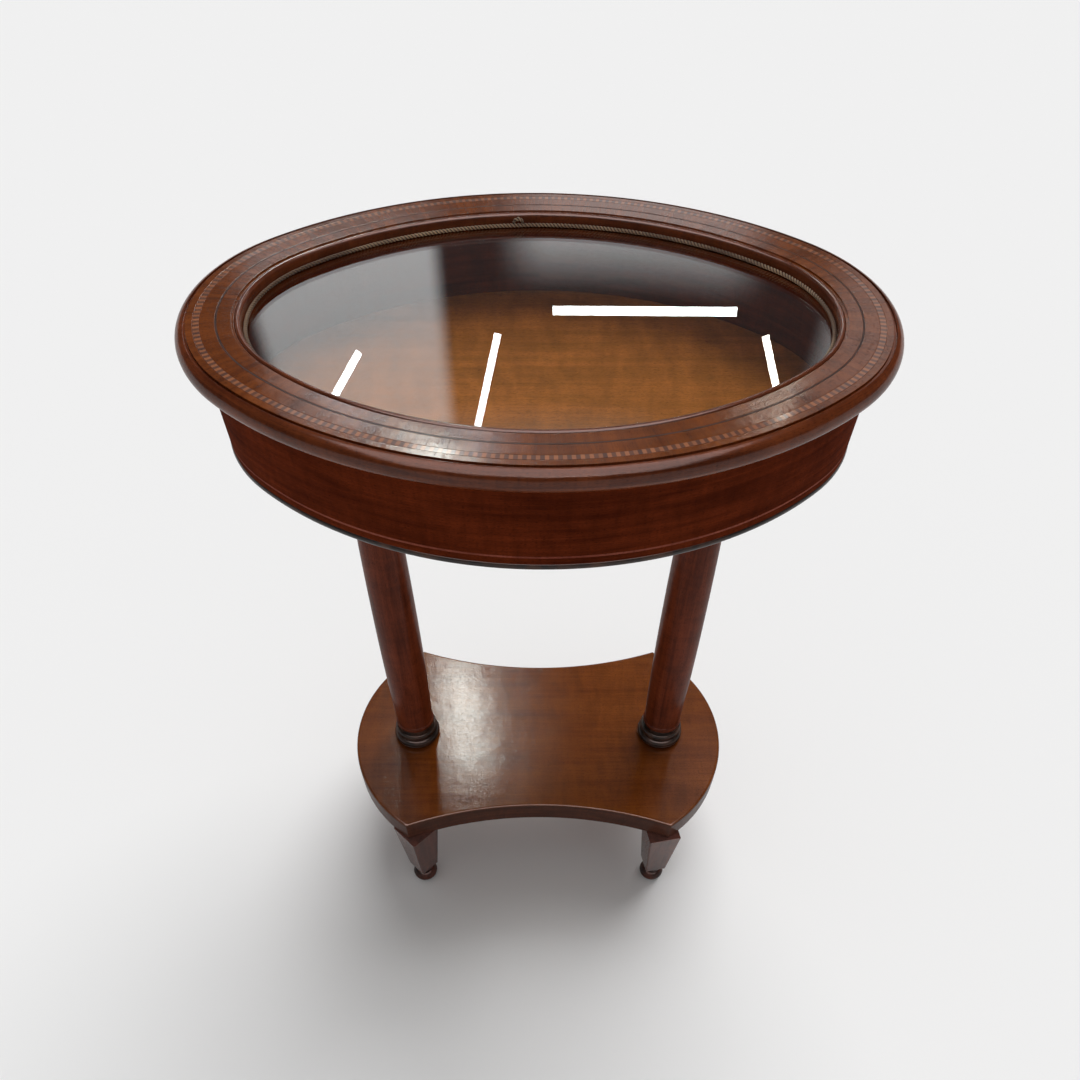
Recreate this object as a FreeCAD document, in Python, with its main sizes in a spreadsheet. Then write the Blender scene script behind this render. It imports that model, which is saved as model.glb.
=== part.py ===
import FreeCAD, Part
import math
import os
import Sketcher

# Collectors display table: an oval glass-topped case on two turned columns, a shaped
# lower shelf and four tapered feet. The lid lifts on two butt hinges at the back.
# Row frame: +X to the right, +Y to the back, +Z up, origin on the floor under the middle.
# Insets are measured inward from the rim of the top, square to it.

SIZES = [
    ("top_length", 600, "rim to rim along X"),
    ("top_width", 450, "rim to rim along Y"),
    ("oval_shoulder", 52.5, "half width less the radius of the oval's end arcs"),
    ("table_height", 750, "floor to the top of the lid"),
    ("lid_thickness", 19.5, "depth of the lid frame and its nosing"),
    ("lid_seat_gap", 0.3, "air between the closed lid and the frieze"),
    ("glue_line", 0.05, "play of a glued inlay or moulding in its bed"),
    ("nosing_width", 10.5, "width of the rim moulding, with its quirk"),
    ("nosing_rise", 0.15, "flat left at the nosing's outermost line, half height"),
    ("quirk_width", 2.5, "groove between the nosing and the crossband"),
    ("quirk_depth", 1.8, "depth of that groove"),
    ("inlay_depth", 1.0, "thickness of the inlaid bands and strings"),
    ("banding_inset", 19.0, "rim to the middle of the dentil banding"),
    ("banding_width", 5.5, "width of the dentil banding"),
    ("stringing_inset", 34.5, "rim to the middle of the ebony string"),
    ("stringing_width", 1.5, "width of the ebony string"),
    ("frame_width", 48.5, "rim to the inner edge of the lid frame"),
    ("inner_quirk_width", 2.0, "groove beside the inner bead"),
    ("inner_quirk_depth", 1.2, "depth of that groove"),
    ("sight_bead_width", 5.0, "width of the bead round the glass"),
    ("sight_bead_height", 11.0, "top of the lid down to the glass"),
    ("glass_thickness", 4.0, "float glass"),
    ("glass_play", 0.5, "glass edge to the lid frame"),
    ("glazing_bead_width", 5.6, "strip that holds the glass from below"),
    ("cord_radius", 2.0, "twisted cord laid in the corner on the glass"),
    ("cord_play", 0.1, "cord to the bead and the glass"),
    ("frieze_setback", 17.5, "rim to the outer face of the frieze"),
    ("frieze_thickness", 18.0, "wall of the frieze"),
    ("frieze_height", 80.0, "depth of the frieze"),
    ("string_height", 12.5, "foot of the frieze to the middle of its string"),
    ("string_width", 2.0, "width of the frieze's string"),
    ("foot_bead_height", 5.6, "ebonised bead round the foot of the frieze"),
    ("foot_bead_depth", 4.4, "depth of the bead's bed in the frieze"),
    ("foot_bead_proud", 0.8, "how far the bead stands out"),
    ("bottom_recess", 1.5, "foot of the frieze up to the bottom board"),
    ("bottom_thickness", 14.0, "bottom board of the case"),
    ("bottom_rebate", 8.0, "width of the frieze's rebate over the board"),
    ("floor_thickness", 4.0, "veneered panel that the collection lies on"),
    ("floor_play", 0.3, "panel edge to the frieze"),
    ("column_inset", 128.4, "end of the top to the centre of a column"),
    ("shaft_foot_radius", 24.2, "column shaft just above its foot bead"),
    ("shaft_belly_radius", 26.0, "column shaft at its fullest"),
    ("shaft_belly_height", 134.0, "foot of the shaft to where it is fullest"),
    ("shaft_top_radius", 20.4, "column shaft just below its neck bead"),
    ("foot_bead_radius", 25.8, "turned bead at the foot of the shaft, at its widest"),
    ("neck_bead_radius", 22.6, "turned bead at the neck of the shaft, at its widest"),
    ("shaft_bead_curve", 4.8, "radius of the curve of those beads"),
    ("shaft_bead_height", 8.0, "height of a turned bead on the shaft"),
    ("base_radius", 31, "ebonised ring at the widest part of its lower torus"),
    ("base_height", 30.0, "height of the base ring"),
    ("base_torus_height", 13.0, "height of the ring's lower, larger torus"),
    ("base_torus_curve", 7.2, "radius of that torus's curve"),
    ("base_fillet_height", 2.0, "flat step between the two tori"),
    ("base_step_radius", 26.0, "flat step between the two tori, and the edges of the upper one"),
    ("base_neck_height", 6.0, "plain neck between the rings and the shaft"),
    ("base_neck_radius", 23.4, "that neck under the shaft"),
    ("cap_neck_radius", 20.6, "the like neck over the shaft"),
    ("cap_height", 24.0, "height of the ring under the case"),
    ("spigot_radius", 10.0, "turned tenons that join column, rings and boards"),
    ("spigot_reach", 20.0, "tenon length into the shaft"),
    ("board_reach", 11.0, "tenon length into the shelf or the bottom board"),
    ("tenon_play", 0.1, "tenon to its socket, all round and at its end"),
    ("shelf_height", 162, "floor to the top of the shelf"),
    ("shelf_thickness", 31, "thickness of the shelf"),
    ("shelf_end_inset", 43.0, "end of the top to the bowed end of the shelf"),
    ("shelf_bow", 82.0, "rise of the bowed ends beyond the corners"),
    ("shelf_corner_inset", 70.0, "front of the top to the corners of the shelf"),
    ("shelf_hollow", 32, "depth of the hollow front and back"),
    ("shelf_arris", 3.0, "rounding of the shelf's top edge"),
    ("foot_inset_length", 7.8, "shelf corner to the centre of the foot along X"),
    ("foot_inset_width", 15.8, "shelf corner to the centre of the foot along Y"),
    ("foot_top_side", 43, "side of the square foot at the shelf"),
    ("foot_sole_side", 28.5, "side of the square foot at its pad"),
    ("foot_turn", 45, "angle of a foot, arris forward"),
    ("loose_foot_turn", 11, "angle of the front right foot, slewed on its dowel"),
    ("pad_height", 32, "floor to the sole of the foot"),
    ("pad_sole_radius", 10.5, "flat that stands on the floor"),
    ("pad_radius", 17, "bun at the widest part of its belly"),
    ("pad_belly_height", 17, "height of the bun's belly"),
    ("pad_belly_curve", 9.2, "radius of the belly's curve"),
    ("pad_sole_height", 1.5, "floor to the belly"),
    ("pad_groove_radius", 10.4, "bottom of the turned groove"),
    ("pad_groove_height", 3, "height of the turned groove"),
    ("pad_neck_radius", 12.0, "neck under the foot"),
    ("pad_spigot_radius", 6, "pad's tenon in the foot"),
    ("pad_spigot_reach", 14, "length of that tenon"),
    ("dowel_radius", 6, "dowel between foot and shelf"),
    ("dowel_in_shelf", 14, "dowel length in the shelf"),
    ("dowel_in_foot", 26, "dowel length in the foot"),
    ("hinge_spacing", 96, "distance between the middles of the hinges"),
    ("hinge_length", 36, "length of a hinge along its pin"),
    ("leaf_thickness", 1.6, "brass leaf"),
    ("leaf_reach", 20, "pin to the inner end of a leaf"),
    ("knuckle_radius", 2.7, "outside of the hinge's barrel"),
    ("knuckle_setoff", 0.4, "barrel to the back of the frieze"),
    ("knuckle_gap", 0.3, "air beside each knuckle"),
    ("knuckle_room", 0.6, "air round the barrel under the lid"),
    ("pin_radius", 1.2, "hinge pin"),
    ("pin_play", 0.05, "pin to the knuckles, radial"),
    ("screw_radius", 1.3, "shank of a hinge screw"),
    ("screw_head_radius", 2.6, "countersunk head of a hinge screw"),
    ("screw_length", 11, "length of a hinge screw"),
    ("screw_spread", 22, "outer screws of a hinge, centre to centre"),
    ("screw_setback", 12, "pin to the line of screws"),
    ("screw_play", 0.05, "screw to its hole, radial and at its tip"),
    ("board_screw_radius", 2.0, "shank of a bottom board screw"),
    ("board_screw_head_radius", 4.0, "head of a bottom board screw"),
    ("board_screw_length", 30, "length of a bottom board screw"),
]

document = FreeCAD.newDocument("collectors_display_table")
sheet = document.addObject("Spreadsheet::Sheet", "sizes")
for row, (alias, size, meaning) in enumerate(SIZES, start=1):
    sheet.set(f"A{row}", alias)
    sheet.set(f"B{row}", str(size))
    sheet.set(f"C{row}", meaning)
    sheet.setAlias(f"B{row}", alias)
document.recompute()

# Heights above the floor and other sizes that follow from the sheet.
LID_UNDERSIDE = "(sizes.table_height - sizes.lid_thickness)"
GLASS_TOP = "(sizes.table_height - sizes.sight_bead_height)"
FRIEZE_TOP = f"({LID_UNDERSIDE} - sizes.lid_seat_gap)"
FRIEZE_FOOT = f"({FRIEZE_TOP} - sizes.frieze_height)"
BOTTOM_UNDERSIDE = f"({FRIEZE_FOOT} + sizes.bottom_recess)"
BOTTOM_TOP = f"({BOTTOM_UNDERSIDE} + sizes.bottom_thickness)"
SHELF_UNDERSIDE = "(sizes.shelf_height - sizes.shelf_thickness)"
SHAFT_FOOT = "(sizes.shelf_height + sizes.base_height)"
SHAFT_TOP = f"({BOTTOM_UNDERSIDE} - sizes.cap_height)"
SHAFT_LENGTH = f"({SHAFT_TOP} - {SHAFT_FOOT})"
FOOT_HEIGHT = f"({SHELF_UNDERSIDE} - sizes.pad_height)"
PIN_Y = "(sizes.top_width / 2 - sizes.frieze_setback + sizes.knuckle_radius + sizes.knuckle_setoff)"
PIN_HEIGHT = f"({LID_UNDERSIDE} - sizes.lid_seat_gap / 2)"
HALF_LENGTH = "(sizes.top_length / 2)"
HALF_WIDTH = "(sizes.top_width / 2)"
SOCKET_RADIUS = "(sizes.spigot_radius + sizes.tenon_play)"
FRIEZE_INNER = "(sizes.frieze_setback + sizes.frieze_thickness)"
BEAD_INNER = "(sizes.frame_width + sizes.sight_bead_width)"
BOARD_EDGE = f"({FRIEZE_INNER} - sizes.bottom_rebate)"
BOARD_SCREW_INSET = f"({FRIEZE_INNER} - sizes.bottom_rebate / 2)"

# The oval is drawn with four arcs. Its end arcs are centred on the long axis and its
# side arcs on the short axis, so every inset of it is an exact parallel.
END_RADIUS = f"({HALF_WIDTH} - sizes.oval_shoulder)"
END_CENTRE = f"({HALF_LENGTH} - {END_RADIUS})"
SIDE_RADIUS = f"(({END_CENTRE}^2 + {HALF_WIDTH}^2 - {END_RADIUS}^2) / (2 * sizes.oval_shoulder))"
SIDE_CENTRE = f"({SIDE_RADIUS} - {HALF_WIDTH})"

# A sketch numbers its own axes downward from -1, and the points of a curve upward from 1.
H_AXIS, V_AXIS = range(-1, -3, -1)
START, END, CENTRE = range(1, 4)
ORIGIN = (H_AXIS, START)

sub_parts = []


def value(expression):
    """The number that an expression has now."""
    return float(sheet.evalExpression(expression))


def edge_radius(widest, curve, height):
    """Radius at the top and bottom edges of a turned bead that bulges to its widest."""
    return f"({widest} - {curve} + sqrt({curve}^2 - ({height} / 2)^2))"


def arc_radius(half_chord, rise):
    """Radius of the arc over a chord with a given rise."""
    return f"((({half_chord})^2 + ({rise})^2) / (2 * ({rise})))"


def new_body(label, height="0", x="0", y="0", turn=None):
    """A sub-part, placed by expressions."""
    body = document.addObject("PartDesign::Body", label)
    body.Label = label
    body.setExpression("Placement.Base.x", x)
    body.setExpression("Placement.Base.y", y)
    body.setExpression("Placement.Base.z", height)
    if turn:
        body.setExpression("Placement.Rotation.Angle", turn)
    sub_parts.append(body)
    return body


def new_sketch(body, role="XY_Plane", lift="0"):
    """A sketch on one of the body's own planes, lifted along its normal."""
    sketch = body.newObject("Sketcher::SketchObject", f"{body.Name}_sketch")
    plane = next(item for item in body.Origin.OriginFeatures if item.Role == role)
    sketch.AttachmentSupport = (plane, "")
    sketch.MapMode = "FlatFace"
    sketch.setExpression("AttachmentOffset.Base.z", lift)
    return sketch


def bind(sketch, constraint, expression):
    """Add a dimension and tie it to an expression."""
    index = sketch.addConstraint(constraint)
    sketch.setExpression(f"Constraints[{index}]", expression)


def place_point(sketch, geometry, point, x, y):
    """Tie a point of a sketch to expressions; zero puts it on an axis."""
    for kind, expression, axis in (("DistanceX", x, V_AXIS), ("DistanceY", y, H_AXIS)):
        if expression == "0":
            sketch.addConstraint(Sketcher.Constraint("PointOnObject", geometry, point, axis))
        else:
            dimension = Sketcher.Constraint(kind, *ORIGIN, geometry, point, value(expression))
            bind(sketch, dimension, expression)


def draw_circle(sketch, x, y, radius):
    """A circle with its centre and radius tied to expressions."""
    centre = FreeCAD.Vector(value(x), value(y), 0)
    circle = sketch.addGeometry(Part.Circle(centre, FreeCAD.Vector(0, 0, 1), value(radius)))
    place_point(sketch, circle, CENTRE, x, y)
    bind(sketch, Sketcher.Constraint("Radius", circle, value(radius)), radius)


def arc_between(start, end, radius):
    """The shorter arc that bulges to the right of the way from start to end."""
    chord = end - start
    rise = math.sqrt(radius ** 2 - (chord.Length / 2) ** 2)
    left = FreeCAD.Vector(-chord.y, chord.x, 0).normalize()
    centre = (start + end) / 2 + left * rise
    first = math.atan2(start.y - centre.y, start.x - centre.x)
    last = math.atan2(end.y - centre.y, end.x - centre.x)
    if last < first:
        last += 2 * math.pi
    circle = Part.Circle(centre, FreeCAD.Vector(0, 0, 1), radius)
    return Part.ArcOfCircle(circle, first, last)


def draw_outline(sketch, corners):
    """A closed outline, anticlockwise. Each corner is (x, y), or (x, y, radius) where the
    stretch that leaves it is an arc that bulges outward."""
    spots = [FreeCAD.Vector(value(corner[0]), value(corner[1]), 0) for corner in corners]
    stretches = []
    for corner, start, end in zip(corners, spots, spots[1:] + spots[:1]):
        if len(corner) == 3:
            stretches.append(sketch.addGeometry(arc_between(start, end, value(corner[2]))))
        else:
            stretches.append(sketch.addGeometry(Part.LineSegment(start, end)))
    for stretch, following in zip(stretches, stretches[1:] + stretches[:1]):
        sketch.addConstraint(Sketcher.Constraint("Coincident", stretch, END, following, START))
    for corner, stretch in zip(corners, stretches):
        place_point(sketch, stretch, START, corner[0], corner[1])
        if len(corner) == 3:
            bind(sketch, Sketcher.Constraint("Radius", stretch, value(corner[2])), corner[2])


def draw_rectangle(sketch, left, right, low, high):
    """A rectangle from two pairs of expressions."""
    draw_outline(sketch, [(left, low), (right, low), (right, high), (left, high)])


def draw_oval(sketch, inset):
    """The top's oval, moved inward by an inset."""
    end_radius = value(END_RADIUS) - value(inset)
    side_radius = value(SIDE_RADIUS) - value(inset)
    end_x = value(END_CENTRE)
    side_y = value(SIDE_CENTRE)
    turn = math.atan2(side_y, end_x)
    plan = (
        (end_x, 0, end_radius, -turn, turn),
        (0, -side_y, side_radius, turn, math.pi - turn),
        (-end_x, 0, end_radius, math.pi - turn, math.pi + turn),
        (0, side_y, side_radius, math.pi + turn, 2 * math.pi - turn),
    )
    arcs = []
    for x, y, radius, first, last in plan:
        circle = Part.Circle(FreeCAD.Vector(x, y, 0), FreeCAD.Vector(0, 0, 1), radius)
        arcs.append(sketch.addGeometry(Part.ArcOfCircle(circle, first, last)))
    right, back, left, front = arcs
    sketch.addConstraint([
        Sketcher.Constraint("Tangent", right, END, back, START),
        Sketcher.Constraint("Coincident", back, END, left, START),
        Sketcher.Constraint("Coincident", left, END, front, START),
        Sketcher.Constraint("Coincident", front, END, right, START),
        Sketcher.Constraint("Symmetric", right, END, right, START, H_AXIS),
        Sketcher.Constraint("Symmetric", back, START, back, END, V_AXIS),
        Sketcher.Constraint("Symmetric", front, START, front, END, V_AXIS),
        Sketcher.Constraint("Equal", right, left),
        Sketcher.Constraint("Equal", back, front),
    ])
    reach = Sketcher.Constraint("DistanceX", *ORIGIN, right, CENTRE, end_x)
    drop = Sketcher.Constraint("DistanceY", back, CENTRE, *ORIGIN, side_y)
    bind(sketch, reach, END_CENTRE)
    bind(sketch, Sketcher.Constraint("Radius", right, end_radius), f"{END_RADIUS} - {inset}")
    bind(sketch, drop, SIDE_CENTRE)


def finish_feature(body, feature, sketch):
    """Hide the sketch behind the feature and bring the body up to date."""
    sketch.Visibility = False
    body.Tip = feature
    document.recompute()
    return feature


def pad(body, sketch, length, both_ways=False):
    """Thicken a sketch along its normal."""
    feature = body.newObject("PartDesign::Pad", f"{body.Name}_pad")
    feature.Profile = sketch
    feature.Midplane = both_ways
    feature.setExpression("Length", length)
    return finish_feature(body, feature, sketch)


def pocket(body, sketch, depth, along_normal=False, both_ways=False):
    """Cut a sketch into the body, against its normal unless told otherwise."""
    before = body.Shape.Volume
    feature = body.newObject("PartDesign::Pocket", f"{body.Name}_pocket")
    feature.Profile = sketch
    feature.Reversed = along_normal
    feature.Midplane = both_ways
    feature.setExpression("Length", depth)
    finish_feature(body, feature, sketch)
    if not body.Shape.Volume < before:
        raise RuntimeError(f"{feature.Label} cuts nothing")
    return feature


def revolve(body, corners):
    """Turn a profile of (radius, height) corners about the body's vertical axis."""
    sketch = new_sketch(body, "XZ_Plane")
    draw_outline(sketch, corners)
    feature = body.newObject("PartDesign::Revolution", f"{body.Name}_turning")
    feature.Profile = sketch
    feature.ReferenceAxis = (sketch, ["V_Axis"])
    feature.Angle = 360
    return finish_feature(body, feature, sketch)


def run_moulding(body, inset, corners, cuts=False):
    """Run a profile round the oval. Corners are (distance inward from the path, height)."""
    path = new_sketch(body)
    draw_oval(path, inset)
    profile = new_sketch(body, "XZ_Plane")
    outer = f"({HALF_LENGTH} - {inset})"
    placed = [(f"{outer} - {corner[0]}", *corner[1:]) for corner in corners]
    draw_outline(profile, placed)
    before = body.Shape.Volume if cuts else 0
    kind = "PartDesign::SubtractivePipe" if cuts else "PartDesign::AdditivePipe"
    feature = body.newObject(kind, f"{body.Name}_moulding")
    feature.Profile = profile
    feature.Spine = (path, [])
    path.Visibility = False
    finish_feature(body, feature, profile)
    if cuts and not body.Shape.Volume < before:
        raise RuntimeError(f"{feature.Label} cuts nothing")
    return feature


def oval_board(label, inset, thickness, height):
    """A flat board with the top's oval outline, moved inward."""
    body = new_body(label, height)
    sketch = new_sketch(body)
    draw_oval(sketch, inset)
    pad(body, sketch, thickness)
    return body


def oval_ring(label, outer_inset, inner_inset, thickness, height):
    """A flat ring between two insets."""
    body = new_body(label, height)
    sketch = new_sketch(body)
    draw_oval(sketch, outer_inset)
    draw_oval(sketch, inner_inset)
    pad(body, sketch, thickness)
    return body


def cut_ring(body, outer_inset, inner_inset, depth, lift, along_normal=False):
    """Cut a ring-shaped groove or rebate."""
    sketch = new_sketch(body, lift=lift)
    draw_oval(sketch, outer_inset)
    draw_oval(sketch, inner_inset)
    pocket(body, sketch, depth, along_normal)


def cut_boxes(body, boxes, depth, lift, along_normal=False):
    """Cut several rectangles to one depth."""
    sketch = new_sketch(body, lift=lift)
    for box in boxes:
        draw_rectangle(sketch, *box)
    pocket(body, sketch, depth, along_normal)


def cut_bores(body, centres, radius, depth, lift, along_normal=False):
    """Cut several round holes to one depth."""
    sketch = new_sketch(body, lift=lift)
    for x, y in centres:
        draw_circle(sketch, x, y, radius)
    pocket(body, sketch, depth, along_normal)


# Where the hinges and their screws lie.
HINGE_MIDDLES = ("(-sizes.hinge_spacing / 2)", "(sizes.hinge_spacing / 2)")
SCREW_Y = f"({PIN_Y} - sizes.screw_setback)"
SCREW_SPOTS = [
    (f"({middle} + {step} * sizes.screw_spread / 2)", SCREW_Y)
    for middle in HINGE_MIDDLES
    for step in (-1, 0, 1)
]
SCREW_HOLE = "(sizes.screw_radius + sizes.screw_play)"
SCREW_HOLE_DEPTH = "(sizes.screw_length + sizes.screw_play)"


def hinge_boxes(inner, outer):
    """The footprint of both hinges between two distances from the pin, towards the front."""
    half = "(sizes.hinge_length / 2 + sizes.glue_line)"
    return [
        (f"({middle} - {half})", f"({middle} + {half})", f"({PIN_Y} - {inner})", f"({PIN_Y} - {outer})")
        for middle in HINGE_MIDDLES
    ]


def house_hinges_in_lid(body):
    """Let the lid's leaves in flush, and leave room round the barrels."""
    reach = "(sizes.leaf_reach + sizes.glue_line)"
    room = "(sizes.knuckle_radius + sizes.knuckle_room)"
    cut_boxes(body, hinge_boxes(reach, "0"), "sizes.leaf_thickness + sizes.glue_line", "0", True)
    cut_boxes(body, hinge_boxes(room, f"(-{room})"), room, "0", True)


def make_lid_frame():
    """The veneered ring: bedded bands on top, glazing rebate inside, hinge mortises below."""
    outer = "(sizes.nosing_width + sizes.glue_line)"
    body = oval_ring("lid_frame", outer, "sizes.frame_width", "sizes.lid_thickness", LID_UNDERSIDE)
    top = "sizes.lid_thickness"
    for inset, width in (
        ("sizes.banding_inset", "sizes.banding_width"),
        ("sizes.stringing_inset", "sizes.stringing_width"),
    ):
        cut_ring(body, f"({inset} - {width} / 2)", f"({inset} + {width} / 2)", "sizes.inlay_depth", top)
    quirk = "(sizes.frame_width - sizes.inner_quirk_width)"
    cut_ring(body, quirk, "(sizes.frame_width + sizes.glue_line)", "sizes.inner_quirk_depth", top)
    house_hinges_in_lid(body)
    cut_bores(body, SCREW_SPOTS, SCREW_HOLE, SCREW_HOLE_DEPTH, "0", True)


def make_lid_nosing():
    """Half-round rim moulding with a quirk where it meets the crossband."""
    body = new_body("lid_nosing", LID_UNDERSIDE)
    bulge = "(sizes.lid_thickness / 2 - sizes.nosing_rise)"
    upper = "(sizes.lid_thickness / 2 + sizes.nosing_rise)"
    groove_floor = "(sizes.lid_thickness - sizes.quirk_depth)"
    groove_side = "(sizes.nosing_width - sizes.quirk_width)"
    shoulder = f"({bulge} - sqrt({bulge}^2 - ({bulge} - {groove_side})^2))"
    run_moulding(body, "0", [
        ("sizes.nosing_width", "0"),
        (bulge, "0", f"{bulge}"),
        ("0", bulge),
        ("0", upper, f"{bulge}"),
        (groove_side, f"(sizes.lid_thickness - {shoulder})"),
        (groove_side, groove_floor),
        ("sizes.nosing_width", groove_floor),
    ])
    house_hinges_in_lid(body)


def make_inlays():
    """The dentil banding and the ebony string, flush with the top."""
    height = "(sizes.table_height - sizes.inlay_depth)"
    for label, inset, width in (
        ("dentil_banding", "sizes.banding_inset", "sizes.banding_width"),
        ("lid_stringing", "sizes.stringing_inset", "sizes.stringing_width"),
    ):
        outer = f"({inset} - {width} / 2 + sizes.glue_line)"
        inner = f"({inset} + {width} / 2 - sizes.glue_line)"
        oval_ring(label, outer, inner, "sizes.inlay_depth", height)


def make_sight_bead():
    """Bead round the glass: straight sides and a rounded top."""
    body = new_body("lid_inner_bead", GLASS_TOP)
    width = "(sizes.sight_bead_width - sizes.glue_line)"
    spring = f"(sizes.sight_bead_height - {width} / 2)"
    curve = f"({width} / 2 * 1.001)"
    run_moulding(body, "(sizes.frame_width + sizes.glue_line)", [
        (width, "0"),
        ("0", "0"),
        ("0", spring, curve),
        (width, spring),
    ])


def make_glazing():
    """The pane, the strip under its edge and the cord in the corner above it."""
    glass_underside = f"({GLASS_TOP} - sizes.glass_thickness)"
    edge = "(sizes.frame_width + sizes.glass_play)"
    oval_board("glass_pane", edge, "sizes.glass_thickness", glass_underside)
    outer = "(sizes.frame_width + sizes.glue_line)"
    inner = f"({outer} + sizes.glazing_bead_width)"
    oval_ring("glazing_bead", outer, inner, f"{glass_underside} - {LID_UNDERSIDE}", LID_UNDERSIDE)
    cord = new_body("glass_cord", f"{GLASS_TOP} + sizes.cord_radius + sizes.cord_play")
    centre_line = f"({BEAD_INNER} + sizes.cord_radius + sizes.cord_play)"
    path = new_sketch(cord)
    draw_oval(path, centre_line)
    section = new_sketch(cord, "XZ_Plane")
    draw_circle(section, f"({HALF_LENGTH} - {centre_line})", "0", "sizes.cord_radius")
    feature = cord.newObject("PartDesign::AdditivePipe", "glass_cord_tube")
    feature.Profile = section
    feature.Spine = (path, [])
    path.Visibility = False
    finish_feature(cord, feature, section)
    line_length = sum(edge.Length for edge in path.Shape.Edges)
    section_area = math.pi * value("sizes.cord_radius") ** 2
    ratio = cord.Shape.Volume / (line_length * section_area)
    print("cord length", round(line_length, 1), "mm, volume over section times length", round(ratio, 4))


def make_frieze_band():
    """Oval wall of the case: string bed outside, rebates at its foot, hinge mortises on top."""
    body = oval_ring("frieze_band", "sizes.frieze_setback", FRIEZE_INNER, "sizes.frieze_height", FRIEZE_FOOT)
    low = "(sizes.string_height - sizes.string_width / 2)"
    high = "(sizes.string_height + sizes.string_width / 2)"
    proud = "(-sizes.inlay_depth)"
    run_moulding(body, "sizes.frieze_setback", [
        ("sizes.inlay_depth", low),
        (proud, low),
        (proud, high),
        ("sizes.inlay_depth", high),
    ], cuts=True)
    bead_bed = "(sizes.frieze_setback + sizes.foot_bead_depth)"
    outside = "(sizes.frieze_setback - sizes.inlay_depth)"
    cut_ring(body, outside, bead_bed, "sizes.foot_bead_height", "0", True)
    inside = f"({FRIEZE_INNER} + sizes.inlay_depth)"
    cut_ring(body, BOARD_EDGE, inside, "sizes.bottom_recess + sizes.bottom_thickness", "0", True)
    reach = "(sizes.leaf_reach + sizes.glue_line)"
    mortise = "sizes.leaf_thickness + sizes.glue_line"
    cut_boxes(body, hinge_boxes(reach, "0"), mortise, "sizes.frieze_height")
    cut_bores(body, SCREW_SPOTS, SCREW_HOLE, SCREW_HOLE_DEPTH, "sizes.frieze_height")
    tip = "(sizes.board_screw_length + sizes.bottom_recess + sizes.screw_play)"
    cut_bores(body, BOARD_SCREW_SPOTS, BOARD_SCREW_HOLE, tip, "0", True)


def make_frieze_trim():
    """The light string let into the frieze and the ebonised bead round its foot."""
    outer = "sizes.frieze_setback"
    inner = "(sizes.frieze_setback + sizes.inlay_depth - sizes.glue_line)"
    width = "sizes.string_width - 2 * sizes.glue_line"
    height = f"({FRIEZE_FOOT} + sizes.string_height - sizes.string_width / 2 + sizes.glue_line)"
    oval_ring("frieze_string", outer, inner, width, height)
    body = new_body("frieze_foot_bead", FRIEZE_FOOT)
    tall = "(sizes.foot_bead_height - sizes.glue_line)"
    deep = "(sizes.foot_bead_depth + sizes.foot_bead_proud - sizes.glue_line)"
    curve = f"({tall} / 2 * 1.2)"
    belly = f"({curve} - sqrt({curve}^2 - ({tall} / 2)^2))"
    run_moulding(body, "(sizes.frieze_setback - sizes.foot_bead_proud)", [
        (deep, "0"),
        (belly, "0", curve),
        (belly, tall),
        (deep, tall),
    ])


BOARD_SCREW_HOLE = "(sizes.board_screw_radius + sizes.screw_play)"
BOARD_SCREW_SPOTS = [
    ("0", f"(-({HALF_WIDTH} - {BOARD_SCREW_INSET}))"),
    ("0", f"({HALF_WIDTH} - {BOARD_SCREW_INSET})"),
    (f"(-({HALF_LENGTH} - {BOARD_SCREW_INSET}))", "0"),
    (f"({HALF_LENGTH} - {BOARD_SCREW_INSET})", "0"),
]
COLUMN_X = f"({HALF_LENGTH} - sizes.column_inset)"
COLUMN_SPOTS = {"left": f"(-{COLUMN_X})", "right": COLUMN_X}


def make_case_boards():
    """The structural bottom board and the veneered panel that the collection lies on."""
    edge = f"({BOARD_EDGE} + sizes.glue_line)"
    board = oval_board("case_bottom", edge, "sizes.bottom_thickness", BOTTOM_UNDERSIDE)
    sockets = [(x, "0") for x in COLUMN_SPOTS.values()]
    cut_bores(board, sockets, SOCKET_RADIUS, "sizes.board_reach + sizes.tenon_play", "0", True)
    cut_bores(board, BOARD_SCREW_SPOTS, BOARD_SCREW_HOLE, "sizes.bottom_thickness", "0", True)
    head = "(sizes.board_screw_head_radius + sizes.screw_play)"
    head_depth = "sizes.board_screw_radius + sizes.screw_play"
    cut_bores(board, BOARD_SCREW_SPOTS, head, head_depth, "0", True)
    panel_edge = f"({FRIEZE_INNER} + sizes.floor_play)"
    oval_board("case_floor", panel_edge, "sizes.floor_thickness", BOTTOM_TOP)


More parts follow.
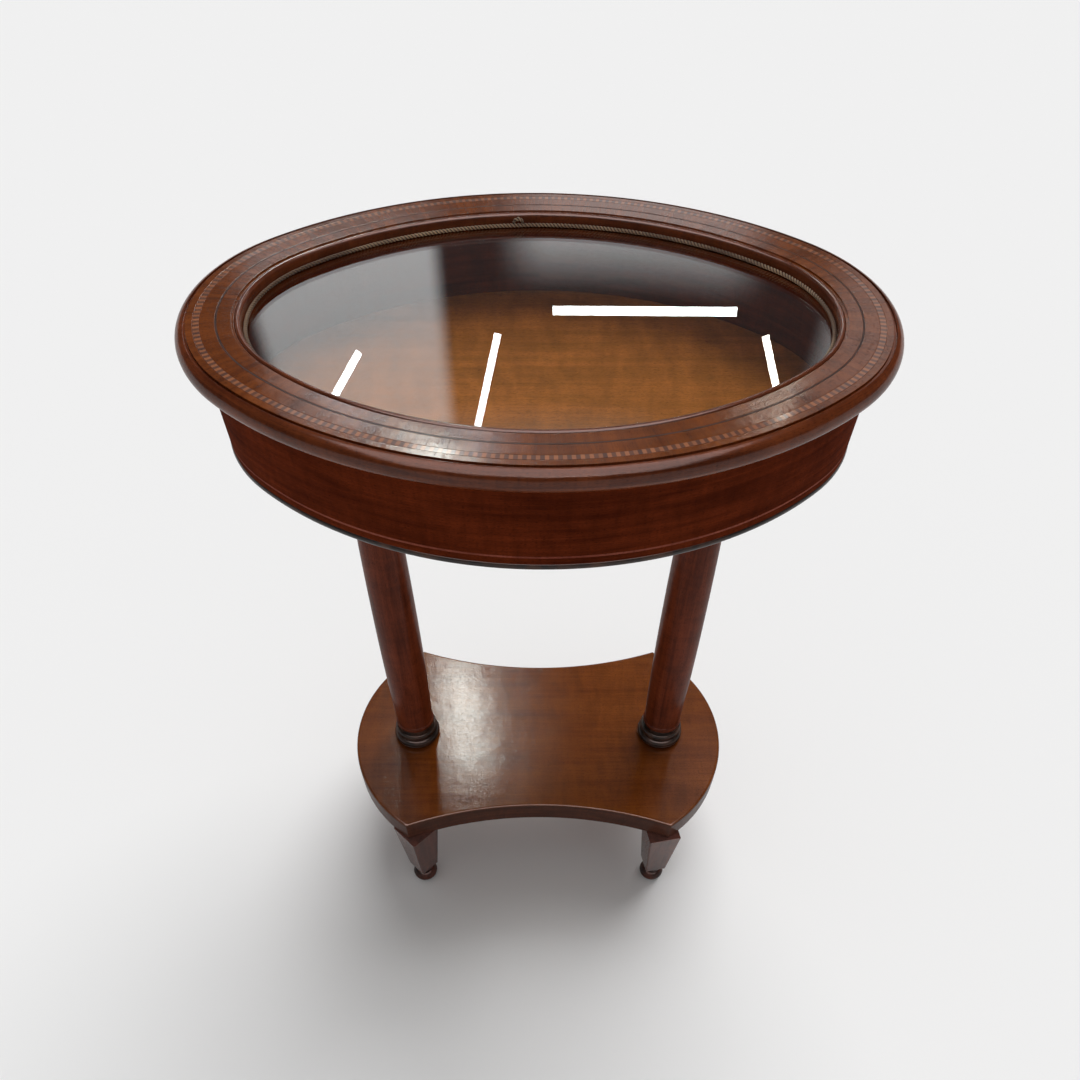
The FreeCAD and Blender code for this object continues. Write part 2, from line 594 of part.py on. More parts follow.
def make_column(side, x):
    """Turned, gently swelling shaft with a bead at each end and sockets for the rings' tenons."""
    body = new_body(f"column_{side}", SHAFT_FOOT, x)
    socket = "(sizes.spigot_reach + sizes.tenon_play)"
    curve = "sizes.shaft_bead_curve"
    foot_bead = edge_radius("sizes.foot_bead_radius", curve, "sizes.shaft_bead_height")
    neck_bead = edge_radius("sizes.neck_bead_radius", curve, "sizes.shaft_bead_height")
    shaft_start = "sizes.shaft_bead_height"
    shaft_end = f"({SHAFT_LENGTH} - sizes.shaft_bead_height)"
    lower_reach = f"(sizes.shaft_belly_height - {shaft_start})"
    lower_swell = arc_radius(lower_reach, "sizes.shaft_belly_radius - sizes.shaft_foot_radius")
    upper_reach = f"({shaft_end} - sizes.shaft_belly_height)"
    upper_swell = arc_radius(upper_reach, "sizes.shaft_belly_radius - sizes.shaft_top_radius")
    revolve(body, [
        (SOCKET_RADIUS, "0"),
        (foot_bead, "0", curve),
        (foot_bead, shaft_start),
        ("sizes.shaft_foot_radius", shaft_start, lower_swell),
        ("sizes.shaft_belly_radius", "sizes.shaft_belly_height", upper_swell),
        ("sizes.shaft_top_radius", shaft_end),
        (neck_bead, shaft_end, curve),
        (neck_bead, SHAFT_LENGTH),
        (SOCKET_RADIUS, SHAFT_LENGTH),
        (SOCKET_RADIUS, f"({SHAFT_LENGTH} - {socket})"),
        ("0", f"({SHAFT_LENGTH} - {socket})"),
        ("0", socket),
        (SOCKET_RADIUS, socket),
    ])


def ring_profile(height, torus_height, neck_radius, up, down):
    """A ring of two tori with a step between them, a neck, and a tenon above and below."""
    step_top = f"({torus_height} + sizes.base_fillet_height)"
    neck_foot = f"({height} - sizes.base_neck_height)"
    upper_curve = f"(({neck_foot} - {step_top}) * 0.6)"
    lower_edge = edge_radius("sizes.base_radius", "sizes.base_torus_curve", torus_height)
    return [
        ("0", f"(-{down})"),
        ("sizes.spigot_radius", f"(-{down})"),
        ("sizes.spigot_radius", "0"),
        (lower_edge, "0", "sizes.base_torus_curve"),
        (lower_edge, torus_height),
        ("sizes.base_step_radius", torus_height),
        ("sizes.base_step_radius", step_top, upper_curve),
        ("sizes.base_step_radius", neck_foot),
        (neck_radius, neck_foot),
        (neck_radius, height),
        ("sizes.spigot_radius", height),
        ("sizes.spigot_radius", f"({height} + {up})"),
        ("0", f"({height} + {up})"),
    ]


def make_column_rings(side, x):
    """Ebonised turned rings under and over the shaft; the upper one is the lower one inverted."""
    base = new_body(f"column_base_{side}", "sizes.shelf_height", x)
    tenons = ("sizes.spigot_reach", "sizes.board_reach")
    revolve(base, ring_profile(
        "sizes.base_height", "sizes.base_torus_height", "sizes.base_neck_radius", *tenons,
    ))
    cap = new_body(f"column_cap_{side}", BOTTOM_UNDERSIDE, x)
    torus = "((sizes.cap_height - sizes.base_neck_height) / 2)"
    profile = ring_profile("sizes.cap_height", torus, "sizes.cap_neck_radius", *tenons)
    inverted = [(corner[0], f"(-{corner[1]})", *corner[2:]) for corner in profile]
    turned = []
    for index in range(len(inverted) - 1, -1, -1):
        before = inverted[index - 1]
        turned.append((*inverted[index][:2], *before[2:]))
    revolve(cap, turned)


def make_shelf():
    """Shelf with hollow front and back, bowed ends and pointed corners."""
    body = new_body("lower_shelf", SHELF_UNDERSIDE)
    sketch = new_sketch(body)
    hollow = arc_radius(CORNER_X, "sizes.shelf_hollow")
    bow = arc_radius(CORNER_Y, "sizes.shelf_bow")
    draw_shelf_outline(sketch, CORNER_X, CORNER_Y, hollow, bow)
    base = pad(body, sketch, "sizes.shelf_thickness")
    top = value("sizes.shelf_thickness")
    edges = [
        f"Edge{number}"
        for number, edge in enumerate(base.Shape.Edges, start=1)
        if all(abs(vertex.Z - top) < 0.001 for vertex in edge.Vertexes)
    ]
    arris = body.newObject("PartDesign::Fillet", "lower_shelf_arris")
    arris.Base = (base, edges)
    arris.setExpression("Radius", "sizes.shelf_arris")
    finish_feature(body, arris, sketch)
    sockets = [(x, "0") for x in COLUMN_SPOTS.values()]
    depth = "sizes.board_reach + sizes.tenon_play"
    cut_bores(body, sockets, SOCKET_RADIUS, depth, "sizes.shelf_thickness")
    dowel_hole = "(sizes.dowel_radius + sizes.tenon_play)"
    cut_bores(body, FOOT_SPOTS.values(), dowel_hole, "sizes.dowel_in_shelf + sizes.tenon_play", "0", True)


def draw_shelf_outline(sketch, corner_x, corner_y, hollow, bow):
    """Four arcs between four corners: two bulge inward, two outward."""
    x = value(corner_x)
    y = value(corner_y)
    back_right = FreeCAD.Vector(x, y, 0)
    back_left = FreeCAD.Vector(-x, y, 0)
    front_left = FreeCAD.Vector(-x, -y, 0)
    front_right = FreeCAD.Vector(x, -y, 0)
    right = sketch.addGeometry(arc_between(front_right, back_right, value(bow)))
    back = sketch.addGeometry(arc_between(back_left, back_right, value(hollow)))
    left = sketch.addGeometry(arc_between(back_left, front_left, value(bow)))
    front = sketch.addGeometry(arc_between(front_right, front_left, value(hollow)))
    sketch.addConstraint([
        Sketcher.Constraint("Coincident", right, END, back, END),
        Sketcher.Constraint("Coincident", back, START, left, START),
        Sketcher.Constraint("Coincident", left, END, front, END),
        Sketcher.Constraint("Coincident", front, START, right, START),
    ])
    for arc, point, across, along in (
        (back, END, corner_x, corner_y),
        (back, START, f"(-{corner_x})", corner_y),
        (front, END, f"(-{corner_x})", f"(-{corner_y})"),
        (front, START, corner_x, f"(-{corner_y})"),
    ):
        place_point(sketch, arc, point, across, along)
    for arc, radius in ((right, bow), (left, bow), (back, hollow), (front, hollow)):
        bind(sketch, Sketcher.Constraint("Radius", arc, value(radius)), radius)


CORNER_X = f"({HALF_LENGTH} - sizes.shelf_end_inset - sizes.shelf_bow)"
CORNER_Y = f"({HALF_WIDTH} - sizes.shelf_corner_inset)"
FOOT_X = f"({CORNER_X} - sizes.foot_inset_length)"
FOOT_Y = f"({CORNER_Y} - sizes.foot_inset_width)"
FOOT_SPOTS = {
    "front_left": (f"(-{FOOT_X})", f"(-{FOOT_Y})"),
    "front_right": (FOOT_X, f"(-{FOOT_Y})"),
    "back_left": (f"(-{FOOT_X})", FOOT_Y),
    "back_right": (FOOT_X, FOOT_Y),
}


def make_foot(place, x, y):
    """Square foot tapered to its sole, turned on its dowel."""
    turn = "sizes.loose_foot_turn" if place == "front_right" else "sizes.foot_turn"
    body = new_body(f"foot_{place}", "sizes.pad_height", x, y, turn)
    sections = []
    for side, lift in (("sizes.foot_sole_side", "0"), ("sizes.foot_top_side", FOOT_HEIGHT)):
        section = new_sketch(body, lift=lift)
        draw_rectangle(section, f"(-{side} / 2)", f"({side} / 2)", f"(-{side} / 2)", f"({side} / 2)")
        sections.append(section)
    loft = body.newObject("PartDesign::AdditiveLoft", f"{body.Name}_taper")
    loft.Profile = sections[0]
    loft.Sections = sections[1:]
    loft.Ruled = True
    sections[1].Visibility = False
    finish_feature(body, loft, sections[0])
    pad_hole = "(sizes.pad_spigot_radius + sizes.tenon_play)"
    dowel_hole = "(sizes.dowel_radius + sizes.tenon_play)"
    cut_bores(body, [("0", "0")], pad_hole, "sizes.pad_spigot_reach + sizes.tenon_play", "0", True)
    cut_bores(body, [("0", "0")], dowel_hole, "sizes.dowel_in_foot + sizes.tenon_play", FOOT_HEIGHT)


def make_foot_pad(place, x, y):
    """Turned bun with a groove and a neck, tenoned into the foot."""
    body = new_body(f"foot_pad_{place}", "0", x, y)
    belly_top = "(sizes.pad_sole_height + sizes.pad_belly_height)"
    groove_top = f"({belly_top} + sizes.pad_groove_height)"
    spigot_top = "(sizes.pad_height + sizes.pad_spigot_reach)"
    belly_edge = edge_radius("sizes.pad_radius", "sizes.pad_belly_curve", "sizes.pad_belly_height")
    revolve(body, [
        ("0", "0"),
        ("sizes.pad_sole_radius", "0"),
        (belly_edge, "sizes.pad_sole_height", "sizes.pad_belly_curve"),
        (belly_edge, belly_top),
        ("sizes.pad_groove_radius", belly_top),
        ("sizes.pad_groove_radius", groove_top),
        ("sizes.pad_neck_radius", groove_top),
        ("sizes.pad_neck_radius", "sizes.pad_height"),
        ("sizes.pad_spigot_radius", "sizes.pad_height"),
        ("sizes.pad_spigot_radius", spigot_top),
        ("0", spigot_top),
    ])


def make_leaf(label, middle, on_lid):
    """One leaf of a butt hinge. The case leaf has the outer knuckles, the lid leaf the middle one."""
    body = new_body(label, PIN_HEIGHT, middle, PIN_Y)
    side = 1 if on_lid else -1
    near = f"({side} * sizes.lid_seat_gap / 2)"
    far = f"({side} * (sizes.lid_seat_gap / 2 + sizes.leaf_thickness))"
    low, high = (near, far) if on_lid else (far, near)
    plate = new_sketch(body, "YZ_Plane")
    draw_rectangle(plate, "(-sizes.leaf_reach)", "0", low, high)
    pad(body, plate, "sizes.hinge_length", both_ways=True)
    barrel = new_sketch(body, "YZ_Plane")
    draw_circle(barrel, "0", "0", "sizes.knuckle_radius")
    pad(body, barrel, "sizes.hinge_length", both_ways=True)
    joint = "(sizes.hinge_length / 6)"
    end = "(sizes.hinge_length / 2 + sizes.knuckle_gap)"
    clear = "(sizes.knuckle_radius + sizes.knuckle_gap)"
    if on_lid:
        edge = f"({joint} - sizes.knuckle_gap / 2)"
        slots = [(f"(-{end})", f"(-{edge})", f"(-{clear})", clear), (edge, end, f"(-{clear})", clear)]
    else:
        edge = f"({joint} + sizes.knuckle_gap / 2)"
        slots = [(f"(-{edge})", edge, f"(-{clear})", clear)]
    slot_sketch = new_sketch(body)
    for slot in slots:
        draw_rectangle(slot_sketch, *slot)
    pocket(body, slot_sketch, f"2 * {clear}", both_ways=True)
    bore = new_sketch(body, "YZ_Plane")
    draw_circle(bore, "0", "0", "(sizes.pin_radius + sizes.pin_play)")
    pocket(body, bore, "2 * sizes.hinge_length", both_ways=True)
    countersink_leaf(body, near, on_lid)


def countersink_leaf(body, face, on_lid):
    """Three countersunk holes through the leaf, sunk from the side that the screws enter."""
    sketch = new_sketch(body, lift=face)
    for step in (-1, 0, 1):
        draw_circle(sketch, f"({step} * sizes.screw_spread / 2)", "(-sizes.screw_setback)", SCREW_HOLE)
    document.recompute()
    hole = body.newObject("PartDesign::Hole", f"{body.Name}_screw_holes")
    hole.Profile = sketch
    hole.Threaded = False
    hole.HoleCutType = "Countersink"
    hole.DepthType = "Dimension"
    hole.DrillPoint = "Flat"
    hole.Reversed = on_lid
    hole.HoleCutCountersinkAngle = 90
    hole.setExpression("Diameter", f"2 * {SCREW_HOLE}")
    hole.setExpression("Depth", "2 * sizes.leaf_thickness")
    hole.setExpression("HoleCutDiameter", "2 * (sizes.screw_head_radius + sizes.screw_play)")
    finish_feature(body, hole, sketch)


def make_pin(side, middle):
    """Hinge pin, as long as the barrel."""
    pin = document.addObject("Part::Cylinder", f"hinge_pin_{side}")
    pin.Label = f"hinge_pin_{side}"
    pin.setExpression("Radius", "sizes.pin_radius")
    pin.setExpression("Height", "sizes.hinge_length")
    pin.Placement.Rotation = FreeCAD.Rotation(FreeCAD.Vector(0, 1, 0), 90)
    pin.setExpression("Placement.Base.x", f"{middle} - sizes.hinge_length / 2")
    pin.setExpression("Placement.Base.y", PIN_Y)
    pin.setExpression("Placement.Base.z", PIN_HEIGHT)
    sub_parts.append(pin)


def make_screws(label, spots, face, radius, head_radius, length, upward):
    """Identical countersunk screws, one solid at each spot, heads level with a face."""
    screws = []
    for number, (x, y) in enumerate(spots):
        head = document.addObject("Part::Cone", f"{label}_head_{number}")
        head.setExpression("Radius1", head_radius)
        head.setExpression("Radius2", radius)
        head.setExpression("Height", f"{head_radius} - {radius}")
        shank = document.addObject("Part::Cylinder", f"{label}_shank_{number}")
        shank.setExpression("Radius", radius)
        shank.setExpression("Height", length)
        screw = document.addObject("Part::Fuse", f"{label}_{number}")
        screw.Base = head
        screw.Tool = shank
        if not upward:
            screw.Placement.Rotation = FreeCAD.Rotation(FreeCAD.Vector(1, 0, 0), 180)
        screw.setExpression("Placement.Base.x", x)
        screw.setExpression("Placement.Base.y", y)
        screw.setExpression("Placement.Base.z", face)
        screws.append(screw)
    group = document.addObject("Part::Compound", label)
    group.Label = label
    group.Links = screws
    sub_parts.append(group)


def make_dowels():
    """One dowel between each foot and the shelf."""
    dowels = []
    for place, (x, y) in FOOT_SPOTS.items():
        dowel = document.addObject("Part::Cylinder", f"dowel_{place}")
        dowel.setExpression("Radius", "sizes.dowel_radius")
        dowel.setExpression("Height", "sizes.dowel_in_foot + sizes.dowel_in_shelf")
        dowel.setExpression("Placement.Base.x", x)
        dowel.setExpression("Placement.Base.y", y)
        dowel.setExpression("Placement.Base.z", f"{SHELF_UNDERSIDE} - sizes.dowel_in_foot")
        dowels.append(dowel)
    group = document.addObject("Part::Compound", "foot_dowels")
    group.Label = "foot_dowels"
    group.Links = dowels
    sub_parts.append(group)


make_lid_frame()
make_lid_nosing()
make_inlays()
make_sight_bead()
make_glazing()
make_frieze_band()
make_frieze_trim()
make_case_boards()
make_shelf()
for side, x in COLUMN_SPOTS.items():
    make_column(side, x)
    make_column_rings(side, x)
for place, (x, y) in FOOT_SPOTS.items():
    make_foot(place, x, y)
    make_foot_pad(place, x, y)
make_dowels()
for side, middle in zip(("left", "right"), HINGE_MIDDLES):
    make_leaf(f"hinge_leaf_case_{side}", middle, on_lid=False)
    make_leaf(f"hinge_leaf_lid_{side}", middle, on_lid=True)
    make_pin(side, middle)
hinge_screw = ("sizes.screw_radius", "sizes.screw_head_radius", "sizes.screw_length")
make_screws("hinge_screws_case", SCREW_SPOTS, FRIEZE_TOP, *hinge_screw, upward=False)
make_screws("hinge_screws_lid", SCREW_SPOTS, LID_UNDERSIDE, *hinge_screw, upward=True)
board_screw = ("sizes.board_screw_radius", "sizes.board_screw_head_radius", "sizes.board_screw_length")
make_screws("case_bottom_screws", BOARD_SCREW_SPOTS, BOTTOM_UNDERSIDE, *board_screw, upward=True)
document.recompute()

for item in document.Objects:
    if any(flag in item.State for flag in ("Invalid", "Error")):
        raise RuntimeError(f"{item.Label} did not build: {item.State}")
for part in sub_parts:
    if part.Shape.isNull() or not part.Shape.isValid():
        raise RuntimeError(f"{part.Label} has no valid shape")
os.makedirs("parts", exist_ok=True)
for part in sub_parts:
    part.Shape.exportStep(f"parts/{part.Label}.step")
print(len(sub_parts), "sub-parts written")
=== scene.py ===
import math

import bmesh
import bpy
from mathutils import Matrix, Vector


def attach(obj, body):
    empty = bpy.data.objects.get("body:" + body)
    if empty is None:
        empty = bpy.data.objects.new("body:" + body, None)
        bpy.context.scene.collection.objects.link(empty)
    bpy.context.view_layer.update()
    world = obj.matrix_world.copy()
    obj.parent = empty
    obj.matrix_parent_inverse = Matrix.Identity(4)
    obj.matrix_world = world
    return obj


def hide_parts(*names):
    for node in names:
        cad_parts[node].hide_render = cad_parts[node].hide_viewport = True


# Collectors display table: an oval glass-topped case with a hinged lid, on two turned
# columns, a shaped lower shelf and four tapered feet. Sizes are in millimetres in the
# frame's own axes: +X to the right, +Y to the back, +Z up from the floor.

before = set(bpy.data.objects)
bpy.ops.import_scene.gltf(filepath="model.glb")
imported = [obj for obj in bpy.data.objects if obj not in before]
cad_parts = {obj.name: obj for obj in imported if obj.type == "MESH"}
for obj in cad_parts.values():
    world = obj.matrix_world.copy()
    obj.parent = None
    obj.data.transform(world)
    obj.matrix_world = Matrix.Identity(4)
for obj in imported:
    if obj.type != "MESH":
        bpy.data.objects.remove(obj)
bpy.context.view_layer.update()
MM = 0.001

# The oval top: four arcs, so that every inset of it is an exact parallel.
TOP_HALF_LENGTH = 300.0
TOP_HALF_WIDTH = 225.0
END_RADIUS = 172.5
END_CENTRE = TOP_HALF_LENGTH - END_RADIUS
RISE_OVER_ENDS = TOP_HALF_WIDTH - END_RADIUS
SIDE_RADIUS = (END_CENTRE ** 2 + TOP_HALF_WIDTH ** 2 - END_RADIUS ** 2) / (2 * RISE_OVER_ENDS)
SIDE_CENTRE = SIDE_RADIUS - TOP_HALF_WIDTH
END_STEPS = 64
SIDE_STEPS = 96

# The lid. An inset is measured inward from the rim.
TOP = 750.0
LID_UNDERSIDE = 730.5
NOSING_WIDTH = 10.5
NOSING_BULGE = 9.6
QUIRK_SIDE = 8.0
QUIRK_FLOOR = 748.2
NOSING_SHOULDER = 749.866
GLUE_LINE = 0.05
INLAY_DEPTH = 1.0
BANDING_INSET = 19.0
BANDING_WIDTH = 5.5
STRINGING_INSET = 34.5
STRINGING_WIDTH = 1.5
FRAME_WIDTH = 48.5
INNER_QUIRK_WIDTH = 2.0
INNER_QUIRK_DEPTH = 1.2
BEAD_INNER = 53.5
GLASS_TOP = 739.0
GLASS_UNDERSIDE = 735.0
GLASS_EDGE = 49.0
GLASS_ARRIS = 0.4

# The banding's blocks, on a strip that shows between them.
BANDING_PAIRS = 247
BLOCK_WIDTH = 5.0
LIGHT_BLOCK = 3.0
DARK_BLOCK = 3.0
BLOCK_DEPTH = 0.5 * INLAY_DEPTH
STRIP_TOP = TOP - 0.05

# The cord: two plies, with a small loop at the back.
CORD_INSET = 55.6
CORD_HEIGHT = 741.1
CORD_TURNS = 190
CORD_LOOP_X = -21.0
CORD_LOOP_HALF_WIDTH = 5.0
CORD_LOOP_RISE = 5.0
CORD_PLY_RADIUS = 0.85
CORD_LAY_RADIUS = 0.85
CORD_SPACING = 0.6
# The painted shade between the plies is full nearer the middle line than the groove distance and gone beyond
# the crest distance.
CORD_GROOVE = 1.05
CORD_CREST = 1.6

# The case.
FRIEZE_TOP = 730.2
FRIEZE_FOOT = 650.2
FRIEZE_OUTER = 17.5
FRIEZE_INNER = 35.5
BOARD_BED = 27.5
BOARD_BED_TOP = 665.7
BOARD_UNDERSIDE = 651.7
BOARD_SCREW_SPOTS = ((0.0, -193.5), (0.0, 193.5), (-268.5, 0.0), (268.5, 0.0))
STRING_LOW = 661.7
STRING_HIGH = 663.7
FOOT_BEAD_TOP = 655.8
FOOT_BEAD_BED = 21.9
FOOT_BEAD_FACE = 18.19
FOOT_BEAD_CURVE = 3.33

# The hinges, whose leaves are let into the frieze and the lid.
PIN_Y = 210.6
HINGE_MIDDLES = (-48.0, 48.0)
HINGE_HALF_LENGTH = 18.05
LEAF_REACH = 20.05
LEAF_BED = 1.65
BARREL_ROOM = 3.3
HINGE_SCREW_Y = 198.6
HINGE_SCREW_STEP = 11.0

# Screws: radius of the shank, radius of the head, length. What is named after the point is
# in radii of the shank, and what is named after the slot in radii of the head.
HINGE_SCREW = (1.3, 2.6, 11.0)
BOARD_SCREW = (2.0, 4.0, 30.0)
SCREW_TIP = 0.3
POINT_LENGTH = 2.5
POINT_RADIUS = 0.9
SLOT_HALF_WIDTH = 0.14
SLOT_DEPTH = 0.3

# The columns. A root is the radius at which a bead springs from the shaft.
COLUMN_X = 171.6
SHELF_TOP = 162.0
SHAFT_FOOT = 192.0
SHAFT_TOP = 627.7
SHAFT_BELLY = 326.0
FOOT_RADIUS = 24.2
BELLY_RADIUS = 26.0
HEAD_RADIUS = 20.4
LOWER_SWELL = 4411.0
UPPER_SWELL = 7674.0
BEAD_HEIGHT = 8.0
BEAD_CURVE = 4.8
FOOT_BEAD_ROOT = 23.65
HEAD_BEAD_ROOT = 20.45
SPIGOT_RADIUS = 10.0
SPIGOT_LENGTH = 20.0
SPIGOT_PLAY = 0.1
BOARD_SPIGOT = 11.0

# The rings. Each has a large torus against the board, given as (radius of its root, height,
# curve), then a fillet, a small torus (height, curve) on the fillet's radius, and a neck.
BASE_TORUS = (26.9, 13.0, 7.2)
CAP_TORUS = (29.4, 9.0, 7.2)
BASE_SMALL_TORUS = (9.0, 5.4)
CAP_SMALL_TORUS = (7.0, 4.2)
FILLET_RADIUS = 26.0
FILLET_HEIGHT = 2.0
BASE_NECK = 23.4
CAP_NECK = 20.6

# The shelf: hollow front and back, bowed ends, pointed corners.
SHELF_UNDERSIDE = 131.0
SHELF_CORNER = (175.0, 155.0)
SHELF_BOW = 82.0
SHELF_HOLLOW = 32.0
SHELF_ARRIS = 3.0
SHELF_LOW_ARRIS = 0.8
BESIDE_ARRIS = 0.6
SHELF_STEPS = 72
# Faces steeper than this take the darker edge wood, which paints shade on the shelf's edge.
SHELF_SIDE_SLOPE = 0.6

# The feet and their pads.
FOOT_CENTRE = (167.2, 139.2)
FOOT_HALF_TOP = 21.5
FOOT_HALF_SOLE = 14.25
FOOT_ARRIS = 1.2
FOOT_TURN = 45.0
SLEWED_FOOT_TURN = 11.0
PAD_HEIGHT = 32.0
PAD_SOLE = 10.5
PAD_BELLY_ROOT = 11.32
PAD_BELLY_FOOT = 1.5
PAD_BELLY_CURVE = 9.2
PAD_BELLY_TOP = 18.5
PAD_GROOVE = 10.4
PAD_COLLAR = 12.0
PAD_COLLAR_FOOT = 21.5
PAD_SPIGOT_RADIUS = 6.0
PAD_SPIGOT_TOP = 46.0

# The faces of a board are drawn from one of these distances inside its edge.
WIDE_MARGIN = 8.0
NARROW_MARGIN = 6.0

# How fine the meshes are. Angles are in radians.
ARC_STEP = math.radians(9)
LEAST_ARC_STEPS = 4
LONGEST_STEP = 14.0
GENTLE_TURN = math.radians(25)
SHARP_EDGE = math.radians(35)
ON_AXIS = 0.001
COLUMN_STEPS = 80
PAD_STEPS = 48
SCREW_STEPS = 24

# Camera: the eye stands in front of the table and looks down into its glass. Its place is in
# metres and its angles are in radians.
SENSOR_MM = 36.0
FRAME_PX = 1080.0
FOCAL_PX = 815.43
CAMERA_PITCH = 0.97524
CAMERA_YAW = 0.02184
CAMERA_ROLL = 0.01786
CAMERA_PLACE = Vector((-0.00527, -0.69890, 1.09261))
CENTRE_PX = (544.93, 771.83)


def new_object(name, data):
    """A new object in the scene, at the origin and unturned."""
    made = bpy.data.objects.new(name, data)
    bpy.context.scene.collection.objects.link(made)
    return made


def make_camera():
    """The camera, with the lens shifted so that the table stands where it should in the frame."""
    forward = Vector((
        math.sin(CAMERA_YAW) * math.cos(CAMERA_PITCH),
        math.cos(CAMERA_YAW) * math.cos(CAMERA_PITCH),
        -math.sin(CAMERA_PITCH),
    ))
    level = Vector((math.cos(CAMERA_YAW), -math.sin(CAMERA_YAW), 0))
    lift = level.cross(forward)
    right = math.cos(CAMERA_ROLL) * level + math.sin(CAMERA_ROLL) * lift
    up = -math.sin(CAMERA_ROLL) * level + math.cos(CAMERA_ROLL) * lift
    data = bpy.data.cameras.new("camera")
    data.sensor_width = SENSOR_MM
    data.lens = SENSOR_MM * FOCAL_PX / FRAME_PX
    data.shift_x = (FRAME_PX / 2 - CENTRE_PX[0]) / FRAME_PX
    data.shift_y = (CENTRE_PX[1] - FRAME_PX / 2) / FRAME_PX
    data.clip_start = 0.01
    camera = new_object("camera", data)
    turn = Matrix((right, up, -forward)).transposed()
    camera.matrix_world = Matrix.Translation(CAMERA_PLACE) @ turn.to_4x4()
    bpy.context.scene.camera = camera


# Outlines, drawn as (distance outward, height) corners.

def arc_row(start, end, radius, steps=None):
    """Places with their outward sides along the shorter arc that bulges to the right of the
    way from start to end."""
    chord = end - start
    left = Vector((-chord.y, chord.x)).normalized()
    centre = (start + end) / 2 + left * math.sqrt(max(radius ** 2 - chord.length ** 2 / 4, 0))
    first = math.atan2(start.y - centre.y, start.x - centre.x)
    last = math.atan2(end.y - centre.y, end.x - centre.x)
    if last < first:
        last += 2 * math.pi
    sweep = last - first
    if steps is None:
        steps = max(LEAST_ARC_STEPS, math.ceil(sweep / ARC_STEP), math.ceil(sweep * radius / LONGEST_STEP))
    row = []
    for step in range(steps + 1):
        angle = first + sweep * step / steps
        outward = Vector((math.cos(angle), math.sin(angle)))
        row.append((centre + radius * outward, outward))
    return row


def trace(corners):
    """Points along a closed outline; a corner (out, height, radius) starts an arc to the next."""
    points = []
    for corner, target in zip(corners, corners[1:] + corners[:1]):
        here = Vector(corner[:2])
        if len(corner) == 3:
            arc = arc_row(here, Vector(target[:2]), corner[2])
            points.extend(place for place, outward in arc[:-1])
        else:
            points.append(here)
    return points


def soften(points, radius=0.3, closed=True, on_axis=False):
    """Round each sharp corner, with a point beside each rounding so that flats stay flat."""
    softened = []
    count = len(points)
    for index, here in enumerate(points):
        at_end = not closed and index in (0, count - 1)
        before = points[index - 1] - here
        after = points[(index + 1) % count] - here
        if at_end or (on_axis and here.x < ON_AXIS) or math.pi - before.angle(after) < GENTLE_TURN:
            softened.append(here)
            continue
        reach = min(radius, 0.3 * before.length, 0.3 * after.length)
        into = before.normalized() * reach
        out = after.normalized() * reach
        softened.extend([
            here + 1.4 * into, here + into, here + 0.25 * (into + out), here + out, here + 1.4 * out,
        ])
    return softened


def running_lengths(points):
    """Running length along a row of points."""
    lengths = [0.0]
    for here, following in zip(points, points[1:]):
        lengths.append(lengths[-1] + (following - here).length)
    return lengths


# Meshes. Each carries a map named "run" in metres: along the run, then across it.

def face_outward(mesh):
    """Turn every face of a closed mesh outward."""
    shell = bmesh.new()
    shell.from_mesh(mesh)
    bmesh.ops.recalc_face_normals(shell, faces=shell.faces)
    shell.to_mesh(mesh)
    shell.free()


def mesh_from(name, points, faces, runs):
    """A closed mesh from millimetre points, smooth except at its sharp edges."""
    mesh = bpy.data.meshes.new(name)
    mesh.from_pydata([point * MM for point in points], [], faces)
    layer = mesh.uv_layers.new(name="run")
    spots = [spot for run in runs for spot in run]
    for corner, (along, across) in zip(layer.data, spots):
        corner.uv = (along * MM, across * MM)
    face_outward(mesh)
    mesh.polygons.foreach_set("use_smooth", [True] * len(mesh.polygons))
    mesh.set_sharp_from_angle(angle=SHARP_EDGE)
    return new_object(name, mesh)


def run_profile(name, stations, profile, capped=False):
    """Run a profile past stations of (place, outward, distance). A capped one is a board."""
    span = len(stations)
    depth = len(profile)
    points = [
        place + outward * point.x + Vector((0, 0, point.y))
        for place, outward, distance in stations
        for point in profile
    ]
    across = running_lengths(profile + profile[:1])
    along = [station[2] for station in stations]
    along.append(along[-1] + (stations[0][0] - stations[-1][0]).length)
    faces = []
    runs = []
    for station in range(span):
        here = station * depth
        ahead = (station + 1) % span * depth
        for row in range(depth - 1 if capped else depth):
            above = (row + 1) % depth
            faces.append((here + row, ahead + row, ahead + above, here + above))
            runs.append((
                (along[station], across[row]), (along[station + 1], across[row]),
                (along[station + 1], across[row + 1]), (along[station], across[row + 1]),
            ))
    if capped:
        for row in (0, depth - 1):
            face = [station * depth + row for station in range(span)]
            faces.append(face)
            runs.append([points[index][:2] for index in face])
    return mesh_from(name, points, faces, runs)


